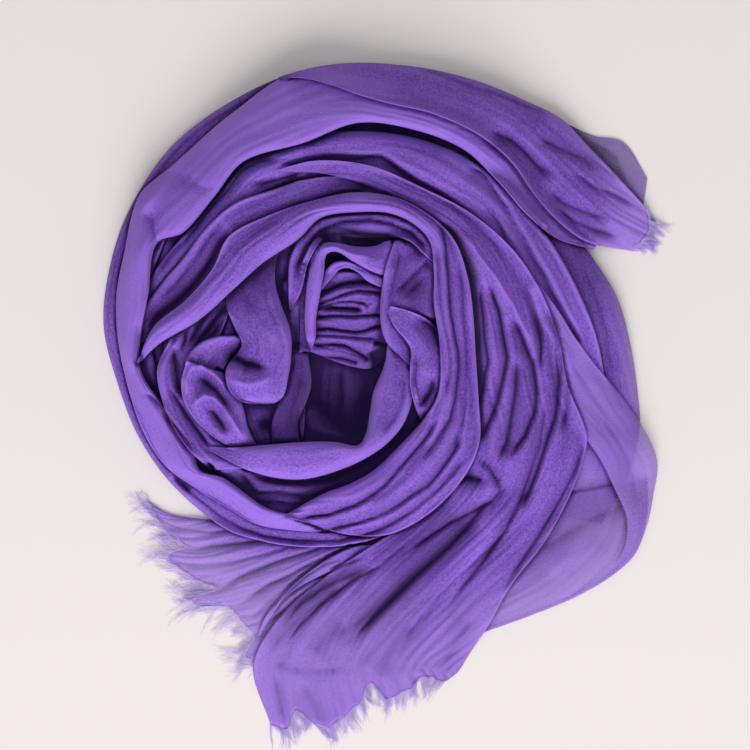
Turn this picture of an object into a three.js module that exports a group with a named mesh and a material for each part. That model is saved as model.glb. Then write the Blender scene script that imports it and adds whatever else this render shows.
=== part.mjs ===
// A fine woven shawl, gathered along its length, wound into a loose coil and laid on a table.
// Units are millimetres and +Z is up. The origin is on the table, under the middle of the heap.
// The cloth is laid one stretch after another, from the table upwards: each stretch keeps its own
// folds, and is lifted where it crosses what already lies there.
import * as THREE from "three";

const WALL = 1.8; // thickness of a stretch, measured square to the cloth
const STEEPEST = 2; // a steep wall is at most this many walls thick, measured upwards
const GAP = 0.35; // between two stretches that touch
const CREASE_SOFTNESS = 3.2; // how far from its bottom a crease has opened to a third
const CROWN_POWER = 2.3; // 2 is a half ellipse, more is fuller at the sides
const MAP_STEP = 0.8; // spacing of the height map of what already lies there
const MAP_HALF = { x: 222, y: 258 };

const CLOTH = new THREE.Color(0.3, 0.17, 0.6);
const FRINGE = new THREE.Color(0.42, 0.3, 0.72);

// The hidden layers under the coil: one rounded solid whose rim steps in like the edges of folded cloth.
// Its outline is a row for each bearing: degrees, outer radius, and the radius of the hollow.
const HEAP = {
  centre: { x: -14, y: 62 },
  outline: [
    [0, 160, 22], [30, 158, 30], [60, 156, 40], [90, 162, 46], [120, 162, 44], [150, 162, 36],
    [180, 165, 34], [210, 158, 50], [240, 152, 72], [270, 150, 84], [300, 150, 72], [330, 156, 30],
  ],
  layers: 4,
  layerHeight: 3.6,
  layerInset: 5,
  crownHeight: 24,
  hollowFloor: 5,
  bearings: 30,
};

// Every stretch is a table of sections across the cloth, one row each: outer edge x and y, inner edge x and y.
// heights: section, outer edge, inner edge, and how far the crown stands over the line between them.
// creases: for each crease, rows of section, place across the cloth from 0 to 1, and depth.
// nodes: the pieces that the stretch is parted into, by name, first section, last section, and their own
// number of cells across between two creases where it isn't that of the stretch.
// hem and fringe: rows of place across the cloth and how far its end reaches there, and the strands along it.
const STRETCHES = [
  {
    nodes: [["rim_layer_lower", 0, 5], ["rim_layer_lower_top", 5, 11]],
    sections: [
      [-60, -102, -58, -78], [-112, -88, -98, -66], [-148, -57, -128, -38], [-172, -22, -148, -8],
      [-187, 15, -158, 20], [-196.5, 56, -164, 54], [-193, 92, -162, 86], [-180, 134, -150, 120],
      [-151, 177, -128, 154], [-112, 208, -94, 180], [-60, 232, -54, 204], [0, 233, 0, 206],
    ],
    heights: [[0, 2, 9, 6.7], [5, 2, 14.6, 7.8], [11, 2, 14.6, 7.8]],
    creases: [],
    across: 4,
    along: 2,
  },
  {
    nodes: [["hollow_floor", 0, 4]],
    sections: [
      [-60, 44, 4, 44], [-64, 22, 8, 22], [-66, 0, 6, -2], [-66, -22, -2, -24], [-60, -40, -12, -40],
    ],
    heights: [[0, 14, 14, -6], [2, 16, 14, -8], [4, 18, 18, -4]],
    creases: [[[0, 0.3, 2], [4, 0.3, 2]], [[0, 0.66, 2], [4, 0.7, 2]]],
    across: 2,
    along: 1,
  },
  {
    nodes: [["left_bowl_sheet", 0, 6]],
    sections: [
      [-132, 92, -56, 122], [-144, 68, -50, 88], [-152, 44, -48, 60], [-154, 20, -52, 34], [-148, -6, -54, 8],
      [-132, -30, -58, -14], [-112, -46, -62, -32],
    ],
    heights: [[0, 26, 22, 4], [2, 26, 16, 7], [4, 26, 16, 6], [6, 24, 22, 4]],
    creases: [[[0, 0.3, 2], [6, 0.35, 4]], [[0, 0.6, 2], [6, 0.65, 3]]],
    across: 2,
    along: 1,
  },
  {
    nodes: [["right_under_sheet", 0, 8]],
    sections: [
      [96, 156, 70, 122], [124, 130, 88, 104], [147, 99, 100, 86], [163, 72, 110, 62], [172, 45, 118, 38],
      [177, 12, 122, 8], [178, -20, 124, -22], [170, -52, 120, -50], [152, -84, 108, -76],
    ],
    heights: [[0, 4, 26.8, 9], [3, 2, 26.8, 12.3], [6, 2, 19.5, 11.2], [8, 2, 8, 5.6]],
    creases: [[[0, 0.62, 0], [3, 0.6, 3], [8, 0.55, 1]]],
    across: 3,
    along: 2,
  },
  {
    nodes: [["lower_left_end", 0, 6]],
    sections: [
      [-42, -74, 4, -106], [-72, -80, -28, -114], [-98, -83, -52, -124], [-120, -82, -66, -136],
      [-138, -80, -76, -149], [-152, -76, -84, -163], [-165, -68, -91, -178],
    ],
    heights: [[0, 6, 4, 5], [2, 3, 2.5, 7], [4, 2, 2, 5], [6, 1.9, 1.9, 3]],
    creases: [
      [[0, 0.26, 2], [3, 0.25, 6], [6, 0.24, 1]],
      [[0, 0.45, 3], [3, 0.5, 8], [6, 0.53, 1.5]],
      [[0, 0.6, 5], [3, 0.64, 6], [6, 0.65, 1]],
      [[0, 0.8, 4], [3, 0.84, 5], [6, 0.85, 1]],
    ],
    across: 3,
    along: 1,
    hem: [
      [0, 0], [0.1, 3], [0.2, 2], [0.25, -8], [0.36, 14], [0.46, 4], [0.53, -8], [0.575, 15], [0.6, 13], [0.65, -7],
      [0.74, -8], [0.85, -10], [0.92, 3], [1, 0],
    ],
    fringe: { name: "fringe_left", strands: 52, length: 15 },
  },
  {
    nodes: [["right_loop_under", 0, 6]],
    sections: [
      [176, -60, 130, -48], [180, -84, 118, -72], [176, -104, 104, -92], [160, -120, 90, -110],
      [134, -135, 78, -126], [104, -146, 66, -138], [74, -157, 54, -148],
    ],
    heights: [[0, 2, 5, 2.2], [3, 1.9, 5, 4.5], [6, 1.9, 4, 2.2]],
    creases: [],
    across: 5,
    along: 2,
  },
  {
    nodes: [["second_turn_left", 0, 6], ["second_turn_right", 6, 15]],
    sections: [
      [-164, 78, -160, 68], [-152, 103, -141, 92], [-134, 121, -122, 112], [-114, 145, -103, 132],
      [-98, 164, -88, 148], [-70, 175, -68, 157], [-45, 183, -43, 162], [-15, 187, -12, 160], [20, 183, 12, 156],
      [50, 172, 36, 142], [76, 156, 58, 128], [96, 131, 74, 110], [116, 104, 88, 88], [132, 76, 104, 66],
      [145, 48, 120, 46], [152, 24, 130, 24],
    ],
    heights: [[0, 19.5, 17.1, 5.6], [3, 24.4, 24.4, 9], [7, 24.4, 26.8, 11.2], [10, 19.5, 22, 15.7], [12, 17.1, 19.5, 17.9], [15, 8, 10, 11.2]],
    creases: [[[0, 0.5, 0], [6, 0.62, 4], [8, 0.7, 1], [10, 0.62, 7], [12, 0.66, 10], [15, 0.7, 6]]],
    across: 3,
    along: 2,
  },
  {
    nodes: [["outer_turn_left", 0, 8], ["outer_turn_top", 8, 19]],
    sections: [
      [-82, -87, -64, -75], [-110, -76, -88, -65], [-134, -59, -108, -51], [-153, -40, -126, -42],
      [-168, -12, -138, -20], [-179, 16, -154, 4], [-186, 46, -164, 28], [-186, 76, -159, 72],
      [-182, 108, -155, 106], [-172, 143, -134, 121], [-145, 169, -112, 147], [-105, 203, -90, 168],
      [-60, 232, -52, 183], [-17, 225, -18, 195], [23, 213, 22, 190], [62, 198, 58, 174], [92, 176, 80, 154],
      [115, 151, 101, 131], [136, 130, 122, 113], [153, 117, 146, 108],
    ],
    heights: [[0, 14.6, 24.4, 9], [3, 7, 24.4, 14.6], [7, 7, 22, 16.8], [10, 6, 26.8, 16.8], [13, 14.6, 36.6, 10.1], [16, 17.1, 24.4, 11.2], [19, 2, 2, 6.7]],
    creases: [
      [[0, 0.3, 0], [5, 0.5, 0], [8, 0.8, 5], [9, 0.7, 3], [11, 0.5, 0], [19, 0.5, 2]],
    ],
    across: 3,
    along: 2,
  },
  {
    nodes: [["upper_end_flap", 0, 3]],
    sections: [
      [128, 197, 118, 160], [146, 187, 140, 148], [166, 182, 158, 142], [181, 160, 176, 137],
    ],
    heights: [[0, 2, 6, 2.2], [3, 1.9, 1.9, 1.7]],
    creases: [[[0, 0.5, 0], [3, 0.4, 1]]],
    across: 3,
    along: 2,
  },
  {
    nodes: [["top_sheet", 0, 4], ["upper_end", 4, 9]],
    sections: [
      [-57, 233, -49, 226], [-34, 237, -30, 216], [-8, 238, -8, 210], [32, 234, 32, 200], [66, 225, 64, 184],
      [96, 212, 88, 164], [122, 200, 106, 142], [142, 179, 122, 126], [162, 158, 142, 112], [184, 135, 172, 107],
    ],
    heights: [[0, 4, 22, 6], [2, 3, 20, 12], [5, 2, 14, 18], [7, 3, 6, 12], [9, 2.2, 2.2, 3.4]],
    creases: [
      [[0, 0.3, 0], [5, 0.35, 0], [7, 0.42, 5], [9, 0.35, 1]],
      [[0, 0.55, 0], [2, 0.75, 4], [4, 0.8, 3], [6, 0.72, 7], [9, 0.7, 1]],
    ],
    across: 3,
    along: 2,
    hem: [[0, -3], [0.15, 2], [0.4, 5], [0.7, 3], [1, -3]],
    fringe: { name: "fringe_upper", strands: 34, length: 12 },
  },
  {
    nodes: [["left_inner_sheet", 0, 8]],
    sections: [
      [-167, 64, -158, 46], [-153, 84, -136, 64], [-140, 99, -118, 84], [-122, 122, -104, 104], [-103, 138, -90, 116],
      [-80, 147, -70, 126], [-55, 154, -48, 136], [-25, 156, -22, 142], [4, 149, 2, 139],
    ],
    heights: [[0, 26.8, 24.4, 5.6], [3, 29.3, 26.8, 10.1], [6, 24.4, 22, 10.1], [8, 19.5, 19.5, 6.7]],
    creases: [[[0, 0.4, 0], [3, 0.55, 3], [8, 0.5, 0]]],
    across: 4,
    along: 1,
  },
  {
    nodes: [["third_turn_top", 0, 5, 2], ["right_pleats", 5, 9, 2], ["lower_end", 9, 15, 3]],
    sections: [
      [-42, 171, -42, 163], [-5, 170, -6, 152], [25, 152, 22, 134], [60, 130, 46, 118], [88, 106, 58, 98],
      [104, 82, 61, 72], [118, 50, 62, 42], [126, 12, 64, 10], [140, -24, 66, -24], [134, -53, 58, -50],
      [113, -94, 30, -76], [88, -127, -6, -98], [72, -156, -40, -120], [60, -174, -70, -146], [52, -187, -92, -182],
      [46, -192, -80, -224],
    ],
    heights: [[0, 29.3, 26.8, 5.6], [2, 26.8, 29.3, 10.1], [4, 19.5, 31.7, 15.7], [6, 10, 29.3, 15.7], [8, 4, 22, 13.4], [10, 3, 8, 11.2], [12, 2.4, 3, 7.8], [14, 2, 2, 3.9]],
    creases: [
      [[0, 0.2, 0], [4, 0.26, 5], [6, 0.14, 9], [8, 0.16, 9], [10, 0.14, 6], [15, 0.17, 2]],
      [[0, 0.4, 0], [4, 0.48, 5], [6, 0.34, 7], [8, 0.44, 8], [10, 0.3, 7], [12, 0.26, 4], [15, 0.38, 1]],
      [[0, 0.6, 0], [4, 0.66, 4], [6, 0.62, 8], [8, 0.6, 6], [10, 0.48, 6], [12, 0.5, 5], [15, 0.55, 2]],
      [[0, 0.8, 0], [4, 0.82, 4], [6, 0.84, 8], [8, 0.82, 6], [10, 0.7, 5], [12, 0.74, 3], [15, 0.82, 1]],
    ],
    across: 3,
    along: 2,
    hem: [
      [0, 2], [0.17, -7], [0.22, 0], [0.35, 3], [0.43, -11], [0.52, 2], [0.63, 9], [0.7, 12], [0.76, 8], [0.84, -5],
      [0.93, 6], [1, 1],
    ],
    fringe: { name: "fringe_lower", strands: 60, length: 11 },
  },
  {
    nodes: [["right_loop", 0, 11]],
    sections: [
      [118, 70, 112, 62], [132, 50, 117, 34], [150, 26, 121, 12], [169, 2, 126, -8], [184, -22, 136, -24],
      [191, -42, 138, -44], [188, -64, 132, -60], [184, -88, 124, -78], [172, -110, 112, -98], [142, -130, 96, -118],
      [104, -147, 82, -138], [70, -159, 66, -157],
    ],
    heights: [[0, 19.5, 17.1, 3.4], [2, 14.6, 17.1, 6.7], [4, 4, 10, 7.8], [6, 2, 8, 5.6], [9, 2, 6, 4.5], [11, 2, 3, 2.2]],
    creases: [[[0, 0.5, 0], [4, 0.42, 0], [6, 0.4, 2], [8, 0.3, 2], [11, 0.3, 0]]],
    across: 3,
    along: 2,
  },
  {
    nodes: [["inner_turn_left", 0, 8], ["inner_turn_right", 8, 15], ["ring_bottom", 15, 23]],
    sections: [
      [-172, 34, -169, 26], [-156, 57, -151, 44], [-136, 75, -127, 59], [-118, 95, -102, 80], [-104, 120, -82, 99],
      [-78, 133, -60, 112], [-50, 142, -44, 128], [-20, 147, -18, 131], [8, 144, 4, 131], [32, 131, 21, 124],
      [48, 114, 31, 113], [57, 90, 34, 92], [61, 65, 34, 70], [63, 35, 38, 42], [65, 5, 37, 8], [66, -25, 27, -10],
      [57, -50, 10, -29], [33, -74, -8, -46], [0, -92, -25, -57], [-35, -100, -47, -68], [-68, -101, -66, -76],
      [-98, -94, -84, -82], [-126, -77, -106, -68], [-150, -54, -130, -46],
    ],
    heights: [[0, 31.7, 31.7, 4.5], [2, 34.2, 36.6, 11.2], [5, 31.7, 36.6, 15.7], [8, 34.2, 39, 12.3], [12, 24.4, 26.8, 20.2], [15, 8, 26.8, 22.4], [18, 3, 26.8, 21.3], [20, 2.5, 19.5, 15.7], [23, 3, 8, 5.6]],
    creases: [
      [[0, 0.2, 0], [9, 0.3, 0], [12, 0.2, 4], [16, 0.17, 6], [19, 0.18, 5], [23, 0.25, 1]],
      [[0, 0.45, 0], [5, 0.5, 2], [9, 0.5, 0], [12, 0.52, 8], [16, 0.34, 7], [19, 0.4, 7], [23, 0.5, 2]],
      [[0, 0.7, 0], [9, 0.7, 0], [12, 0.8, 6], [16, 0.72, 9], [18, 0.7, 6], [20, 0.75, 0], [23, 0.75, 0]],
    ],
    across: 2,
    along: 2,
  },
  {
    nodes: [["left_inner_folds", 0, 5]],
    sections: [
      [-138, 62, -108, 66], [-146, 44, -116, 48], [-152, 20, -132, 22], [-148, -2, -126, -4], [-136, -24, -112, -26],
      [-118, -42, -92, -42],
    ],
    heights: [[0, 26.8, 24.4, 4.5], [2, 29.3, 22, 9], [5, 24.4, 17.1, 9]],
    creases: [[[0, 0.35, 4], [5, 0.35, 5]], [[0, 0.68, 4], [5, 0.65, 4]]],
    across: 3,
    along: 2,
  },
  {
    nodes: [["bowl_fold", 0, 10]],
    sections: [
      [-120, -33, -118, -29], [-102, -41, -99, -30], [-80, -50, -78, -28], [-58, -52, -56, -27], [-35, -47, -35, -26],
      [-14, -39, -17, -27], [3, -27, -11, -14], [14, -11, -9, 0], [19, 10, -5, 15], [18, 28, 1, 31], [14, 42, 4, 42],
    ],
    heights: [[0, 31.7, 31.7, 3.4], [3, 26.8, 41.5, 10.1], [6, 29.3, 36.6, 11.2], [10, 36.6, 31.7, 6.7]],
    creases: [],
    across: 4,
    along: 2,
  },
  {
    nodes: [["inner_arcs", 0, 9]],
    sections: [
      [-66, 84, -56, 80], [-62, 104, -50, 100], [-48, 127, -38, 116], [-20, 132, -18, 116], [5, 130, 4, 115],
      [23, 124, 17, 112], [32, 110, 25, 101], [31, 95, 20, 90], [22, 83, 11, 80], [12, 76, 4, 76],
    ],
    heights: [[0, 22, 16, 12], [3, 22, 16, 16], [6, 22, 16, 16], [9, 22, 16, 12]],
    creases: [[[0, 0.45, 2], [4, 0.35, 5], [7, 0.5, 4], [9, 0.5, 2]]],
    across: 3,
    along: 1,
  },
  {
    nodes: [["centre_ruffles", 0, 4]],
    sections: [
      [-50, 84, -54, 34], [-38, 86, -38, 29], [-24, 87, -22, 25], [-10, 85, -9, 21], [2, 82, 0, 18],
    ],
    heights: [[0, 31.7, 9, 3.4], [2, 29.3, 8, 5.6], [4, 31.7, 8, 3.4]],
    creases: [
      [[0, 0.08, 3], [4, 0.1, 3]], [[0, 0.22, 4], [4, 0.24, 4]], [[0, 0.36, 4], [4, 0.4, 4]], [[0, 0.54, 4], [4, 0.56, 4]],
      [[0, 0.7, 3], [4, 0.7, 3]], [[0, 0.85, 3], [4, 0.84, 3]],
    ],
    across: 2,
    along: 2,
  },
  {
    nodes: [["centre_arch", 0, 7]],
    sections: [
      [-55, 38, -48, 38], [-55, 66, -47, 66], [-52, 95, -43, 88], [-43, 112, -34, 98], [-22, 110, -20, 92],
      [-4, 111, -8, 88], [4, 113, 0, 88], [8, 112, 5, 92],
    ],
    heights: [[0, 24.4, 24.4, 5.6], [2, 29.3, 31.7, 10.1], [4, 29.3, 34.2, 10.1], [7, 34.2, 34.2, 5.6]],
    creases: [],
    across: 5,
    along: 2,
  },
  {
    nodes: [["centre_right_fold", 0, 7]],
    sections: [
      [16, 112, 6, 113], [18, 100, 2, 98], [15, 86, -2, 82], [12, 72, -4, 66], [10, 58, -2, 50], [14, 46, 2, 40],
      [22, 38, 14, 35], [26, 32, 20, 28],
    ],
    heights: [[0, 36.6, 39, 4.5], [2, 29.3, 31.7, 13.4], [5, 26.8, 29.3, 10.1], [7, 29.3, 29.3, 4.5]],
    creases: [[[0, 0.4, 0], [3, 0.45, 4], [7, 0.5, 1]]],
    across: 3,
    along: 2,
  },
  {
    nodes: [["right_curl", 0, 5]],
    sections: [
      [30, 84, 12, 78], [34, 64, 8, 62], [39, 46, 12, 50], [40, 28, 17, 34], [36, 12, 18, 14], [26, 2, 20, 3],
    ],
    heights: [[0, 29.3, 29.3, 4.5], [2, 26.8, 31.7, 12.3], [4, 29.3, 26.8, 10.1], [5, 26.8, 24.4, 3.4]],
    creases: [[[0, 0.5, 2], [2, 0.6, 6], [5, 0.5, 2]]],
    across: 3,
    along: 2,
  },
  {
    nodes: [["left_post_fold", 0, 5]],
    sections: [
      [-67, 56, -56, 52], [-68, 36, -53, 34], [-67, 18, -52, 14], [-74, -2, -60, -4], [-80, -16, -62, -16],
      [-78, -28, -60, -28],
    ],
    heights: [[0, 26.8, 22, 5.6], [2, 26.8, 19.5, 10.1], [5, 24.4, 22, 6.7]],
    creases: [],
    across: 5,
    along: 2,
  },
  {
    nodes: [["left_petal_lower", 0, 5]],
    sections: [
      [-140, 28, -124, 26], [-141, 12, -118, 16], [-134, -4, -110, 6], [-122, -18, -102, -6], [-108, -28, -96, -18],
      [-96, -33, -88, -26],
    ],
    heights: [[0, 31.7, 31.7, 4.5], [2, 29.3, 31.7, 13.4], [5, 29.3, 26.8, 5.6]],
    creases: [[[0, 0.5, 3], [2, 0.55, 7], [5, 0.5, 3]]],
    across: 3,
    along: 2,
  },
  {
    nodes: [["left_petal_upper", 0, 7]],
    sections: [
      [-112, 84, -74, 92], [-110, 66, -70, 70], [-104, 52, -65, 48], [-106, 36, -64, 30], [-112, 24, -66, 14],
      [-104, 12, -69, 4], [-96, 6, -76, 0], [-90, 0, -82, -3],
    ],
    heights: [[0, 26.8, 29.3, 3.4], [2, 29.3, 31.7, 11.2], [3, 24.4, 31.7, 15.7], [5, 34.2, 34.2, 11.2], [7, 29.3, 29.3, 4.5]],
    creases: [[[0, 0.3, 0], [2, 0.25, 3], [3, 0.3, 10], [4, 0.4, 6], [5, 0.4, 0], [7, 0.4, 0]]],
    across: 3,
    along: 2,
  },
];

// The highest point of what already lies at a place: a grid over the whole heap, starting at the table.
class Pile {
  constructor() {
    this.columns = Math.ceil((2 * MAP_HALF.x) / MAP_STEP) + 1;
    this.rows = Math.ceil((2 * MAP_HALF.y) / MAP_STEP) + 1;
    this.heights = new Float32Array(this.columns * this.rows);
  }

  column(x) {
    return (x + MAP_HALF.x) / MAP_STEP;
  }

  row(y) {
    return (y + MAP_HALF.y) / MAP_STEP;
  }

  // Calls back for every place of the map inside a triangle, with the triangle's own height there, the share
  // that each of its corners has in it, and its cell of the map.
  eachPlace(a, b, c, visit) {
    const area = (b.x - a.x) * (c.y - a.y) - (c.x - a.x) * (b.y - a.y);
    if (Math.abs(area) < 1e-9) return;
    const left = Math.ceil(this.column(Math.min(a.x, b.x, c.x)));
    const right = Math.floor(this.column(Math.max(a.x, b.x, c.x)));
    const low = Math.ceil(this.row(Math.min(a.y, b.y, c.y)));
    const high = Math.floor(this.row(Math.max(a.y, b.y, c.y)));
    for (let j = low; j <= high; j++) {
      for (let i = left; i <= right; i++) {
        const x = i * MAP_STEP - MAP_HALF.x;
        const y = j * MAP_STEP - MAP_HALF.y;
        const shareB = ((x - a.x) * (c.y - a.y) - (c.x - a.x) * (y - a.y)) / area;
        const shareC = ((b.x - a.x) * (y - a.y) - (x - a.x) * (b.y - a.y)) / area;
        if (shareB < 0 || shareC < 0 || shareB + shareC > 1) continue;
        const z = a.z + shareB * (b.z - a.z) + shareC * (c.z - a.z);
        visit(x, y, z, [1 - shareB - shareC, shareB, shareC], j * this.columns + i);
      }
    }
  }

  // Lays a triangle on the map.
  layTriangle(a, b, c) {
    this.eachPlace(a, b, c, (x, y, z, shares, cell) => {
      this.heights[cell] = Math.max(this.heights[cell], z);
    });
  }

  // Raises a triangle until it clears what lies under it, inside and along its sides. Each corner rises only
  // by its share in the place that is most short.
  clearTriangle(a, b, c) {
    const corners = [a, b, c];
    for (let round = 0; round < 40; round++) {
      let short = 0;
      let worst = null;
      const measure = (x, y, z, shares) => {
        const under = this.highest(x, y, MAP_STEP);
        if (under === 0 || under + GAP - z <= short) return;
        short = under + GAP - z;
        worst = shares;
      };
      this.eachPlace(a, b, c, measure);
      for (let k = 0; k < 3; k++) {
        const [p, q] = [corners[k], corners[(k + 1) % 3]];
        const steps = Math.ceil(Math.hypot(q.x - p.x, q.y - p.y) / MAP_STEP);
        for (let n = 1; n < steps; n++) {
          const shares = [0, 0, 0];
          shares[k] = 1 - n / steps;
          shares[(k + 1) % 3] = n / steps;
          measure(...p.clone().lerp(q, n / steps).toArray(), shares);
        }
      }
      if (short < 0.001) return;
      const all = worst.reduce((sum, share) => sum + share * share, 0);
      corners.forEach((corner, k) => (corner.z += ((short + 0.01) * worst[k]) / all));
    }
  }

  // Lays a line between two points on the places beside it.
  layLine(a, b) {
    const steps = Math.ceil(Math.hypot(b.x - a.x, b.y - a.y) / MAP_STEP);
    for (let k = 0; k <= steps; k++) {
      const p = a.clone().lerp(b, k / Math.max(1, steps));
      const [i, j] = [Math.floor(this.column(p.x)), Math.floor(this.row(p.y))];
      for (const cell of [j * this.columns + i, j * this.columns + i + 1, (j + 1) * this.columns + i,
        (j + 1) * this.columns + i + 1]) {
        this.heights[cell] = Math.max(this.heights[cell], p.z);
      }
    }
  }

  // Lays a grid of points, given row by row.
  layGrid(grid) {
    for (const column of [0, grid[0].length - 1]) {
      for (let i = 0; i + 1 < grid.length; i++) this.layLine(grid[i][column], grid[i + 1][column]);
    }
    for (const row of [grid[0], grid[grid.length - 1]]) {
      for (let j = 0; j + 1 < row.length; j++) this.layLine(row[j], row[j + 1]);
    }
    for (let i = 0; i + 1 < grid.length; i++) {
      for (let j = 0; j + 1 < grid[i].length; j++) {
        this.layTriangle(grid[i][j], grid[i + 1][j], grid[i + 1][j + 1]);
        this.layTriangle(grid[i][j], grid[i + 1][j + 1], grid[i][j + 1]);
      }
    }
  }

  // The highest point within reach of a place.
  highest(x, y, reach) {
    const cells = Math.ceil(reach / MAP_STEP);
    const i0 = Math.round(this.column(x));
    const j0 = Math.round(this.row(y));
    let best = 0;
    for (let j = j0 - cells; j <= j0 + cells; j++) {
      for (let i = i0 - cells; i <= i0 + cells; i++) {
        if (Math.hypot(i - i0, j - j0) * MAP_STEP > reach + MAP_STEP) continue;
        best = Math.max(best, this.heights[j * this.columns + i] || 0);
      }
    }
    return best;
  }
}

// A value between the rows of a table whose first column is where each row holds.
function between(table, at, column) {
  if (at <= table[0][0]) return table[0][column];
  for (let k = 1; k < table.length; k++) {
    if (at > table[k][0]) continue;
    const span = table[k][0] - table[k - 1][0];
    const share = THREE.MathUtils.smoothstep(at, table[k - 1][0], table[k - 1][0] + span);
    return THREE.MathUtils.lerp(table[k - 1][column], table[k][column], share);
  }
  return table[table.length - 1][column];
}

// How much of its crown the cloth has at a place across it: nothing at the edges, all of it in the middle.
function crownShare(across) {
  const side = Math.abs(2 * across - 1);
  return Math.pow(Math.max(0, 1 - Math.pow(side, CROWN_POWER)), 1 / CROWN_POWER);
}

// The smooth edge lines of a stretch, as curves through its sections.
function edgesOf(stretch) {
  const line = (x, y) => new THREE.CatmullRomCurve3(
    stretch.sections.map((s) => new THREE.Vector3(s[x], s[y], 0)), false, "centripetal",
  );
  return { outer: line(0, 1), inner: line(2, 3) };
}

// Places across the cloth at one section: some between each crease and the next, closer at the creases.
function placesAcross(stretch, section, cells) {
  const marks = [0, ...stretch.creases.map((crease) => between(crease, section, 1)), 1];
  const places = [0];
  for (let k = 1; k < marks.length; k++) {
    for (let n = 1; n <= cells; n++) {
      const share = (1 - Math.cos((Math.PI * n) / cells)) / 2;
      places.push(THREE.MathUtils.lerp(marks[k - 1], marks[k], share));
    }
  }
  return places;
}

// One point of the cloth before it is laid down.
function clothPoint(stretch, edges, section, across) {
  const t = THREE.MathUtils.clamp(section / (stretch.sections.length - 1), 0, 1);
  const outer = edges.outer.getPoint(t);
  const inner = edges.inner.getPoint(t);
  const width = outer.distanceTo(inner);
  const point = outer.lerp(inner, across);
  const rise = between(stretch.heights, section, 3);
  point.z = THREE.MathUtils.lerp(
    between(stretch.heights, section, 1), between(stretch.heights, section, 2), across,
  ) + rise * crownShare(across);
  for (const crease of stretch.creases) {
    const away = Math.abs(across - between(crease, section, 1)) * width;
    point.z -= between(crease, section, 2) * Math.exp(-away / CREASE_SOFTNESS);
  }
  return point;
}

// The cloth's points at one section, moved out along the cloth at a hem.
function clothRow(stretch, edges, section, cells, hemShare) {
  const last = stretch.sections.length - 1;
  return placesAcross(stretch, section, cells).map((across) => {
    const point = clothPoint(stretch, edges, section, across);
    if (hemShare > 0) {
      const way = clothPoint(stretch, edges, last, across).sub(clothPoint(stretch, edges, last - 0.5, across));
      way.z = 0;
      point.addScaledVector(way.normalize(), hemShare * between(stretch.hem, across, 1));
    }
    return point;
  });
}

// The rows of one node of a stretch, with its ends drawn in by half a gap where it meets the next node.
function rowsOf(stretch, edges, from, to, cells) {
  const last = stretch.sections.length - 1;
  const steps = (to - from) * stretch.along;
  const rows = [];
  for (let i = 0; i <= steps; i++) {
    let section = from + i / stretch.along;
    if (i === 0 && from > 0) section += GAP / 40;
    if (i === steps && to < last) section -= GAP / 40;
    const hemShare = stretch.hem ? Math.max(0, section - (last - 2)) / 2 : 0;
    rows.push(clothRow(stretch, edges, section, cells, hemShare));
  }
  return rows;
}

// How steep the cloth is at a point of the grid: the share of the wall's thickness that shows upwards.
function steepness(rows, i, j) {
  const along = rows[Math.min(i + 1, rows.length - 1)][j].clone().sub(rows[Math.max(i - 1, 0)][j]);
  const side = rows[i][Math.min(j + 1, rows[i].length - 1)].clone().sub(rows[i][Math.max(j - 1, 0)]);
  const normal = along.cross(side);
  return Math.min(STEEPEST, normal.length() / Math.max(1e-6, Math.abs(normal.z)));
}

// Lays the rows on the pile, and returns the top and bottom of the wall.
function layRows(rows, pile) {
  const bottom = rows.map((row, i) => row.map((p, j) => {
    const wall = WALL * steepness(rows, i, j);
    const under = pile.highest(p.x, p.y, MAP_STEP);
    const z = Math.max(p.z - wall, under > 0 ? under + GAP : 0);
    return { point: new THREE.Vector3(p.x, p.y, z), wall };
  }));
  for (let i = 0; i + 1 < rows.length; i++) {
    for (let j = 0; j + 1 < rows[i].length; j++) {
      const [a, b] = [bottom[i][j].point, bottom[i + 1][j].point];
      const [c, d] = [bottom[i + 1][j + 1].point, bottom[i][j + 1].point];
      pile.clearTriangle(a, b, c);
      pile.clearTriangle(a, c, d);
    }
  }
  return {
    top: bottom.map((row) => row.map((b) => b.point.clone().setZ(b.point.z + b.wall))),
    bottom: bottom.map((row) => row.map((b) => b.point)),
  };
}

// A closed wall between a top grid and a bottom grid of the same shape.
function wallGeometry(top, bottom) {
  const rows = top.length;
  const columns = top[0].length;
  const points = [...top.flat(), ...bottom.flat()];
  const index = [];
  const at = (layer, i, j) => layer * rows * columns + i * columns + j;
  const quad = (a, b, c, d) => index.push(a, b, c, a, c, d);
  for (let i = 0; i + 1 < rows; i++) {
    for (let j = 0; j + 1 < columns; j++) {
      quad(at(0, i, j), at(0, i + 1, j), at(0, i + 1, j + 1), at(0, i, j + 1));
      quad(at(1, i, j), at(1, i, j + 1), at(1, i + 1, j + 1), at(1, i + 1, j));
    }
    quad(at(0, i, 0), at(1, i, 0), at(1, i + 1, 0), at(0, i + 1, 0));
    quad(at(0, i + 1, columns - 1), at(1, i + 1, columns - 1), at(1, i, columns - 1), at(0, i, columns - 1));
  }
  for (let j = 0; j + 1 < columns; j++) {
    quad(at(0, 0, j + 1), at(1, 0, j + 1), at(1, 0, j), at(0, 0, j));
    quad(at(0, rows - 1, j), at(1, rows - 1, j), at(1, rows - 1, j + 1), at(0, rows - 1, j + 1));
  }
  return turnedOut(new THREE.BufferGeometry().setFromPoints(points).setIndex(index));
}

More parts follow.
